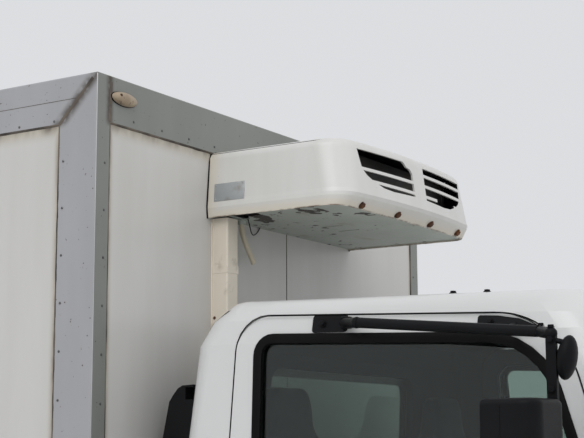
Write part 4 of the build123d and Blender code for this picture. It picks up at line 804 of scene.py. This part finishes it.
# %% Mirror details
seam_rows = ((-1.2952, 1.56), (-1.2952, 1.862), (-1.279, 1.8804), (-1.111, 1.8804),
             (-1.0948, 1.862), (-1.0948, 1.5298), (-1.2952, 1.5298))
seam = [Vector((2.652, across, height)) for across, height in seam_rows]
bolt_rows = (
    # place, direction, size across corners
    ((1.928, -0.9103, 2.1235), (0, -1, 0.16), 0.017),
    ((1.996, -0.9108, 2.1205), (0, -1, 0.16), 0.017),
    ((2.463, -0.9135, 2.1035), (0, -1, 0.16), 0.015),
    ((2.7125, -1.1065, 1.905), (0, -1, 0), 0.018), ((2.7125, -1.1065, 2.03), (0, -1, 0), 0.018),
    ((2.712, -1.099, 2.0605), z_way, 0.017), ((2.645, -1, 2.0755), z_way, 0.016),
)
dome = [(0.036 * cos(radians(turn)), 0.057 * sin(radians(turn))) for turn in range(-90, 91, 15)]
for flip, body, name in door_sides:
    face = bmesh.new()
    rear_plane = flip @ leaning((2.6055, -1.195, 1.705), (0, -1, 0), z_way)
    prism(face, rounded(0.09, -0.163, 0.163, 0.02), rear_plane, 0.0022, 0.0009)
    piece("mirror_glass_" + name, face, "mirror_face", body)
    trim = bmesh.new()
    merge(trim, frame_ring(rounded(0.099, -0.174, 0.174, 0.018), 0.01, 0.006, 0.0018), rear_plane)
    for start, end in zip(seam, seam[1:]):
        bar(trim, flip @ start, flip @ end, 0.0011, 6)
    for place, way, size in bolt_rows:
        bolt(trim, flip @ Vector(place), flip.to_3x3() @ Vector(way), size)
    block(trim, (1.995, -0.925, 2.1035), (2.03, -0.908, 2.1385), 0.004, 2, flip)
    lathe(trim, dome, flip @ shift((2.748, -1.086, 1.984)) @ turned(10, "Y")
          @ Matrix.Diagonal((0.68, 1, 1, 1)), 28)
    piece("mirror_trim_" + name, trim, "trim_plastic", body)
print("mirror details done")

# %% [markdown]
# The roof carries two short dark studs a side. The windscreen has two wipers: an arm that
# narrows from its pivot, and a blade lying on the glass with its rubber under it.

# %% Roof studs and wipers
fittings = bmesh.new()
stud_rows = ((0.0125, -0.003), (0.012, 0.002), (0.0085, 0.0045), (0.008, 0.0085), (0, 0.01))
pivot_rows = ((0.02, -0.015), (0.02, 0.006), (0.014, 0.014), (0, 0.017))
for side in (-1, 1):
    for along in (2.3, 2.406):
        place, normal = on_skin("cab_shell", (along, side * 0.8, 3), (0, 0, -1))
        stud(fittings, stud_rows, place, normal, 16)
for middle in (-0.46, 0.2):
    pivot_y, tip_y = middle + 0.36, middle - 0.02
    pivot = Vector((cab_front(pivot_y, 1.425) + 0.004, pivot_y, 1.418))
    tip = Vector((cab_front(tip_y, 1.515) + 0.02, tip_y, 1.515))
    lift = Vector((0.014, 0, 0))
    stud(fittings, pivot_rows, pivot, (1, 0, 0.1), 20)
    bar(fittings, pivot + Vector((0.012, 0, 0)), pivot.lerp(tip, 0.35) + lift, 0.0075)
    bar(fittings, pivot.lerp(tip, 0.33) + lift, tip, 0.0048)
    blade = []
    for step in range(11):
        across = middle - 0.27 + step * 0.05
        height = 1.522 - 0.1 * (across - tip_y)
        blade.append((cab_front(across, height) + 0.006, across, height))
    for start, end in zip(blade, blade[1:]):
        bar(fittings, start, end, 0.0055, 8)
piece("cab_fittings", fittings, "trim_plastic", "cab")
print("studs and wipers done")

# %% [markdown]
# Light trucks of this kind have amber indicators, tail lamps in three colours, amber side
# markers and number plates. The plates stay blank. A lens is a rounded prism whose outline
# is set flat on the place that a ray finds on the solid. The ray comes from an end of the
# truck, 1 or -1, or from its sides, 0.

# %% Lamps, reflectors and blank plates
lens_rows = (
    # name, finish, body, solid, end, places across or along, height, width, height and depth
    ("front_indicators", "lamp_amber", "chassis", "front_bumper", 1, (0.8,), 0.555,
     (0.165, 0.06, 0.014)),
    ("side_markers", "lamp_amber", "chassis", "box_profiles", 0, (0.85, -0.55, -1.95), 0.905,
     (0.1, 0.036, 0.012)),
    ("side_indicators", "lamp_amber", "cab", "cab_shell", 0, (2.985,), 1.235,
     (0.075, 0.034, 0.014)),
    ("rear_top_markers", "lamp_red", "chassis", "rear_frame", -1, (0.88,), 2.915,
     (0.11, 0.034, 0.014)),
    ("tail_stop", "lamp_red", "chassis", "tail_lamps", -1, (0.645,), 0.765, (0.084, 0.08, 0.01)),
    ("tail_turn", "lamp_amber", "chassis", "tail_lamps", -1, (0.735,), 0.765, (0.084, 0.08, 0.01)),
    ("tail_reverse", "lamp_white", "chassis", "tail_lamps", -1, (0.825,), 0.765,
     (0.084, 0.08, 0.01)),
)
for name, finish, body, solid, end, spots, level, (width, height, depth) in lens_rows:
    lens = bmesh.new()
    for side in (-1, 1):
        for spot in spots:
            start = (4 * end, side * spot, level) if end else (spot, side * 2, level)
            place, normal = on_skin(solid, start, (-end, 0, 0) if end else (0, -side, 0))
            prism(lens, rounded(width / 2, -height / 2, height / 2, min(width, height) * 0.22),
                  upright(place, normal, 0.002), depth, 0.003)
    piece(name, lens, finish, body)
plates, plate_rims = bmesh.new(), bmesh.new()
for solid, end, height in (("front_bumper", 1, 0.52), ("rear_underrun", -1, 0.48)):
    spot = upright(*on_skin(solid, (4 * end, 0, height), (-end, 0, 0)))
    prism(plates, rounded(0.258, -0.055, 0.055, 0.008), spot, 0.0045, 0.0008)
    merge(plate_rims, frame_ring(rounded(0.264, -0.061, 0.061, 0.01), 0.009, 0.0075, 0.002), spot)
    for across in (-0.215, 0.215):
        lathe(plate_rims, ((0, 0.0065), (0.005, 0.006), (0.0065, 0.0045)),
              spot @ shift((across, 0, 0)), 12)
piece("blank_plates", plates, "white_plate")
piece("plate_rims", plate_rims, "trim_plastic")
print("lamps and plates done")

# %% [markdown]
# A tyre is the lathe's best case: its section is one closed row of points, with four grooves
# in the tread. The shoulder and tread blocks are small bevelled cubes, and a spin with
# copies sets them round the wheel. Steered tyres have ribs, driven tyres have blocks.

# %% Tyres and wheel nuts
tread_r = 0.4
half_tyre = 0.1025
shoulder = (0.3925, 0.08)
side_rows = ((0.2235, 0.0185), (0.232, 0.0165), (0.236, 0.0125), (0.262, 0.003), (0.268, 0.0018),
             (0.305, 0), (0.318, 0.0002), (0.32, 0.0018), (0.345, 0.0028), (0.35, 0.0045),
             (0.378, 0.012))
nut_circle = 0.111


def tyre_section(worn):
    """Rows of (radius, height along the axle) from bead to bead, the tread worn by that much."""
    rows = [(radius, -half_tyre + inset) for radius, inset in side_rows]
    rows += [(shoulder[0], -shoulder[1]), (tread_r - worn, -0.064)]
    for groove in (-0.036, -0.012, 0.012, 0.036):
        rows += [(tread_r - worn, groove - 0.0042), (tread_r - 0.011, groove - 0.003),
                 (tread_r - 0.011, groove + 0.003), (tread_r - worn, groove + 0.0042)]
    rows += [(tread_r - worn, 0.064), shoulder]
    rows += [(radius, half_tyre - inset) for radius, inset in reversed(side_rows)]
    return rows + [(0.218, 0.07), (0.215, 0), (0.218, -0.07), rows[0]]


def tread_blocks(work, spot, count, ribs, length, width):
    """Blocks spun round the axle as copies; every second rib is shifted by half a step."""
    for index, rib in enumerate(ribs):
        part = bmesh.new()
        ops.create_cube(part, size=1.0, matrix=shift((rib, 0, tread_r - 0.0063))
                        @ turned(14 if rib > 0 else -14, "Z")
                        @ Matrix.Diagonal((width, length, 0.0105, 1)))
        soften(part, part.edges[:], 0.0012, 1)
        ops.rotate(part, verts=part.verts, cent=(0, 0, 0),
                   matrix=Matrix.Rotation(pi / count * (index % 2), 3, "X"))
        ops.spin(part, geom=everything(part), cent=(0, 0, 0), axis=x_way, steps=count - 1,
                 angle=2 * pi * (count - 1) / count, use_duplicate=True)
        merge(work, part, spot)


driven_treads = ((46, (-0.052, -0.024, 0, 0.024, 0.052), 0.046, 0.0205),
                 (46, (-0.0725, 0.0725), 0.034, 0.0185))
axle_rows = (
    # name, place along, tyre middles, nut plane, tread wear, treads
    ("front", 2.065, (0.825,), 0.875, 0.0008, ((64, (-0.0705, 0.0705), 0.03, 0.015),)),
    ("rear", -1.31, (0.865, 0.63), 0.7575, 0.0045, driven_treads),
)
for end, axle_x, middles, nut_y, worn, treads in axle_rows:
    for side, side_name in ((-1, "right"), (1, "left")):
        name, body = f"{end}_{side_name}", f"{end}_wheel_{side_name}"
        rubber = bmesh.new()
        for middle in middles:
            axle = shift((axle_x, side * middle, tread_r))
            lathe(rubber, tyre_section(worn), axle @ turned(90, "X"), 72)
            for tread in treads:
                tread_blocks(rubber, axle @ turned(90, "Z"), *tread)
        tyre_piece = piece("tyre_soft_" + name, rubber, "tyre", body, 30)
        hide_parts("tyre_" + name)
        nuts = bmesh.new()
        for turn in (radians(30 + 60 * step) for step in range(6)):
            bolt(nuts, (axle_x + nut_circle * cos(turn), side * nut_y,
                        tread_r + nut_circle * sin(turn)), (0, side, 0), 0.036)
        piece("wheel_nuts_" + name, nuts, "galvanised", body)
print("tyres and nuts done")

# %% [markdown]
# A seat is stuffed, so its pads are crowned: a finely divided cube is pulled towards a rounded
# form, its sides draw in between the corners, and the sewn channels press lines into its face.
# Both seats have a high back that narrows into the headrest.

# %% Padded seats
def pad(work, low, high, crown, channels, place, axes, narrow=lambda along: 1):
    """A stuffed pad facing local +Z; channels are sewn lines across local Y, from -1 to 1."""
    low, high = Vector(low), Vector(high)
    middle, half = (low + high) / 2, (high - low) / 2
    part = bmesh.new()
    ops.create_cube(part, size=2.0)
    ops.subdivide_edges(part, edges=part.edges[:], cuts=25, use_grid_fill=True)
    for vert in part.verts:
        power = sum(abs(axis) ** 6 for axis in vert.co) ** (1 / 6)
        across, along, up = (axis * max(abs(c) for c in vert.co) / power for axis in vert.co)
        swell = (1 - across ** 2) * (1 - along ** 2)
        sewn = sum(1 / (1 + ((along - line) / 0.035) ** 2) for line in channels)
        sewn *= 0.007 * (1 - abs(across) ** 3)
        deep = half.z * up * (1 - crown + crown * swell) - (sewn if up > 0.4 else 0)
        wide = half.x * across * (0.965 + 0.035 * along ** 2) * narrow(along)
        vert.co = middle + Vector((wide, half.y * along * (0.975 + 0.025 * across ** 2), deep))
    merge(work, part, shift(place) @ Matrix(axes).transposed().to_4x4())


def shoulders(along):
    """The seat back's share of its full width: full below the shoulders, half at the headrest."""
    rise = min(max((along - 0.42) / 0.3, 0.0), 1.0)
    return 1 - 0.47 * rise * rise * (3 - 2 * rise)


seats = bmesh.new()
for seat_y in (-0.57, 0.57):
    pad(seats, (-0.237, 1.637, 0), (0.237, 2.113, 0.148), 0.16, (-0.25, 0.3), (0, seat_y, 1.076),
        (y_way, x_way, z_way))
    pad(seats, (-0.235, 0, -0.052), (0.235, 0.845, 0.052), 0.2, (-0.55, -0.15, 0.3),
        (1.583, seat_y, 1.12), (y_way, z_way, x_way), shoulders)
seat_piece = piece("seats_padded", seats, "seat_cloth", "cab", 60)
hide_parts("seats")
print("padded seats done")

# %% [markdown]
# The load space has a ribbed floor, kick rails along its walls, and round wire guards over
# the two fans of the evaporator. The rear doors close on black rubber frames.

# %% Inside the box and the rear doors
load_space = bmesh.new()
floor_z = on_skin("box_floor", (-1, 0, 1.5), (0, 0, -1))[0].z
wall_y = on_skin("box_side_walls", (-1, 0, 1.5), y_way)[0].y
rear_x, front_x = -2.9, 1.1
for rib in range(33):
    across = -0.96 + rib * 0.06
    block(load_space, (rear_x, across - 0.006, floor_z - 0.001),
          (front_x, across + 0.006, floor_z + 0.004), 0.0015, 1)
for side in (-1, 1):
    near, far = sorted((side * (wall_y - 0.014), side * (wall_y + 0.001)))
    block(load_space, (rear_x, near, floor_z + 0.02), (front_x, far, floor_z + 0.2), 0.004)
piece("load_floor_trim", load_space, "bright_steel")
guards = bmesh.new()
for across in (-0.24, 0.24):
    below = shift((0.98, across, 2.672))
    for radius in (0.03, 0.055, 0.08, 0.105, 0.128):
        round_wire = [(radius + 0.0018 * cos(turn * pi / 4), 0.0018 * sin(turn * pi / 4))
                      for turn in range(9)]
        lathe(guards, round_wire, below, 40)
    for spoke in range(8):
        way = Vector((cos(spoke * pi / 4), sin(spoke * pi / 4), 0))
        bar(guards, below @ (way * 0.028), below @ (way * 0.13)
            + Vector((0, 0, 0.004 * (spoke % 2))), 0.0022, 6)
    lathe(guards, ((0.026, -0.002), (0.024, 0.004), (0, 0.005)), below @ turned(180, "X"))
piece("fan_guards", guards, "bright_steel")
door_y = 0.547
for side, name in ((-1, "right"), (1, "left")):
    gasket = bmesh.new()
    merge(gasket, frame_ring(rounded(0.542, -1.003, 1.003, 0.012), 0.015, 0.0042, 0.0014),
          leaning((-3.0845, side * door_y, 1.8865), (0, -1, 0), z_way))
    for level in (1.1, 1.62, 2.14, 2.66):
        for across in (0.505, 0.475):
            bolt(gasket, (-3.086, side * (door_y + across), level), (-1, 0, 0), 0.013)
    piece("rear_door_rubber_" + name, gasket, "rubber_seal", "rear_leaf_" + name)
print("load space done")

# %% [markdown]
# Under the body, the tank hangs in two straps and has a filler cap, and the battery box has a
# lid with catches. These small parts are black or galvanised.

# %% Chassis fittings
fittings = bmesh.new()
for along in (-0.2, 0.47):
    rear, front = along - 0.022, along + 0.022
    for low_y, low_z, high_z in ((0.345, 0.436, 0.444), (0.874, 0.436, 0.812),
                                 (0.345, 0.804, 0.812)):
        block(fittings, (rear, low_y, low_z), (front, 0.882, high_z), 0.002, 1)
    bolt(fittings, (along, 0.86, 0.436), (0, 0, -1), 0.02)
for along in (0.345, 0.585):
    block(fittings, (along - 0.02, -0.846, 0.665), (along + 0.02, -0.838, 0.725), 0.003)
piece("chassis_straps", fittings, "galvanised")
caps = bmesh.new()
cap_rows = ((0.048, -0.004), (0.048, 0.016), (0.044, 0.026), (0.04, 0.028), (0.014, 0.028),
            (0.012, 0.036), (0, 0.037))
stud(caps, cap_rows, (0.26, 0.878, 0.7), (0, 1, 0.05), 32)
block(caps, (0.262, -0.846, 0.722), (0.828, -0.344, 0.738), 0.005)
piece("chassis_caps", caps, "bumper_plastic")
print("chassis fittings done")

# %% [markdown]
# A headlamp shows what is behind its clear lens: two bright dishes, each with a bulb cap, and a
# dark bezel round the lens. The front panel has a shut line whose points are found by rays.

# %% Headlamp dishes, bezels and the front panel's shut line
dish_rows = ((0.014, -0.03), (0.024, -0.027), (0.036, -0.019), (0.045, -0.008), (0.05, 0.004),
             (0.0515, 0.004), (0.0515, 0.001), (0.046, -0.011), (0.037, -0.022), (0.024, -0.031),
             (0.014, -0.033))
bulb_rows = ((0.015, -0.033), (0.015, -0.02), (0.011, -0.011), (0.006, -0.008), (0, -0.007))
dishes, bulbs, bezels = bmesh.new(), bmesh.new(), bmesh.new()
for side in (-1, 1):
    spot = upright(*on_skin("headlamps", (4, side * 0.73, 0.905), (-1, 0, 0)))
    merge(bezels, frame_ring(rounded(0.129, -0.079, 0.079, 0.032), 0.013, 0.012, 0.003),
          spot @ shift((0, 0, -0.009)))
    for across in (-0.056, 0.056):
        dish = spot @ shift((across, 0, -0.012))
        lathe(dishes, dish_rows, dish, 40)
        lathe(bulbs, bulb_rows, dish)
piece("headlamp_dishes", dishes, "bright_steel", "cab")
piece("headlamp_bulbs", bulbs, "lamp_white", "cab")
piece("headlamp_bezels", bezels, "trim_plastic", "cab")
corners = [Vector((4, *corner))
           for corner in ((-0.8, 1.035), (-0.8, 1.385), (0.8, 1.385), (0.8, 1.035))]
shut_line = []
for start, end in zip(corners, corners[1:] + corners[:1]):
    shut_line += [on_skin("cab_shell", start.lerp(end, step / 12), (-1, 0, 0))[0]
                  for step in range(12)]
wire("front_shut_line", shut_line, 0.0024, "rubber_seal", "cab", smooth=False, closed=True)
print("cab front done")

# %% [markdown]
# A black rubber lip shows along the upper edge of each door. It is a thin ring on the door's
# outline, cut off at the waist, where the door's skin stops leaning. A thin bright bar along
# each of the box's front corners is a painted highlight on their edge.

# %% Door lips and painted highlights on the corner edges
door_ring = up_slope(((0.4005, 1.1, 0.03), (0.4035, 2.1655, 0.11), (1.444, 2.1215, 0.27),
                      (1.6515, 1.49, 0.11), (1.645, 1.1, 0.03)))
for flip, body, name in door_sides:
    lip = frame_ring(door_ring, 0.0028, 0.003, 0.0006)
    cut = ops.bisect_plane(lip, geom=everything(lip), plane_co=(0, 0.11, 0), plane_no=y_way,
                           clear_inner=True)["geom_cut"]
    ops.holes_fill(lip, edges=[item for item in cut if isinstance(item, types.BMEdge)])
    ops.transform(lip, matrix=flip @ side_plane @ shift((0, 0, -0.0018)), verts=lip.verts)
    piece("door_lip_" + name, lip, "rubber_seal", body)
edges = bmesh.new()
# Painted highlight: a thin bright bar stands in for the shine along each front corner.
for side in (-1, 1):
    bar(edges, (1.2142, side * 1.0992, 0.9), (1.2142, side * 1.0992, 2.945), 0.0016, 8)
piece("corner_highlight_edges", edges, "bright_steel")
print("lips and edges done")

# %% [markdown]
# The light is a plain studio: an even pale world and three broad soft lamps. The strongest
# is high on the camera's left, so that the box's side is a little brighter than its front,
# and it alone shows in what shines. The camera sees the world as a pale grey, and the floor
# keeps the truck's shadow.

# %% Floor, world and lamps
world = bpy.data.worlds.new("studio")
world.use_nodes = True
scene.world = world
tree = world.node_tree
ray_kind = node("LightPath").outputs
seen = most(most(ray_kind["Is Camera Ray"], ray_kind["Is Glossy Ray"]),
            ray_kind["Is Transmission Ray"])
feed(tree.nodes["Background"], Color=(0.85, 0.865, 0.89, 1), Strength=ramp(seen, 0, 1, 0.7, 0.84))
lamp_rows = (
    # name, place, size, power
    ("key_lamp", (3, -10, 11), 9, 640),
    ("front_lamp", (10, 0, 7), 10, 235),
    ("rear_lamp", (-9, 7, 8), 12, 420),
)
for name, place, size, power in lamp_rows:
    lamp = bpy.data.lights.new(name, "AREA")
    lamp.size = size
    lamp.energy = power
    holder = put(name, lamp)
    holder.location = place
    holder.visible_glossy = name == "key_lamp"
    aim = Vector((0, 0, 1.5)) - Vector(place)
    holder.rotation_euler = aim.to_track_quat("-Z", "Y").to_euler()

work = bmesh.new()
ops.create_grid(work, x_segments=1, y_segments=1, size=30)
floor = put("floor", bpy.data.meshes.new("floor"))
work.to_mesh(floor.data)
work.free()
start_finish("pale_floor", 0.8)
paint(clouds(0.8, 0.3, 0.7), (0.74, 0.74, 0.735), (0.71, 0.71, 0.705))
floor.data.materials.append(finishes["pale_floor"])
scene.view_settings.view_transform = "Standard"
print("studio ready")
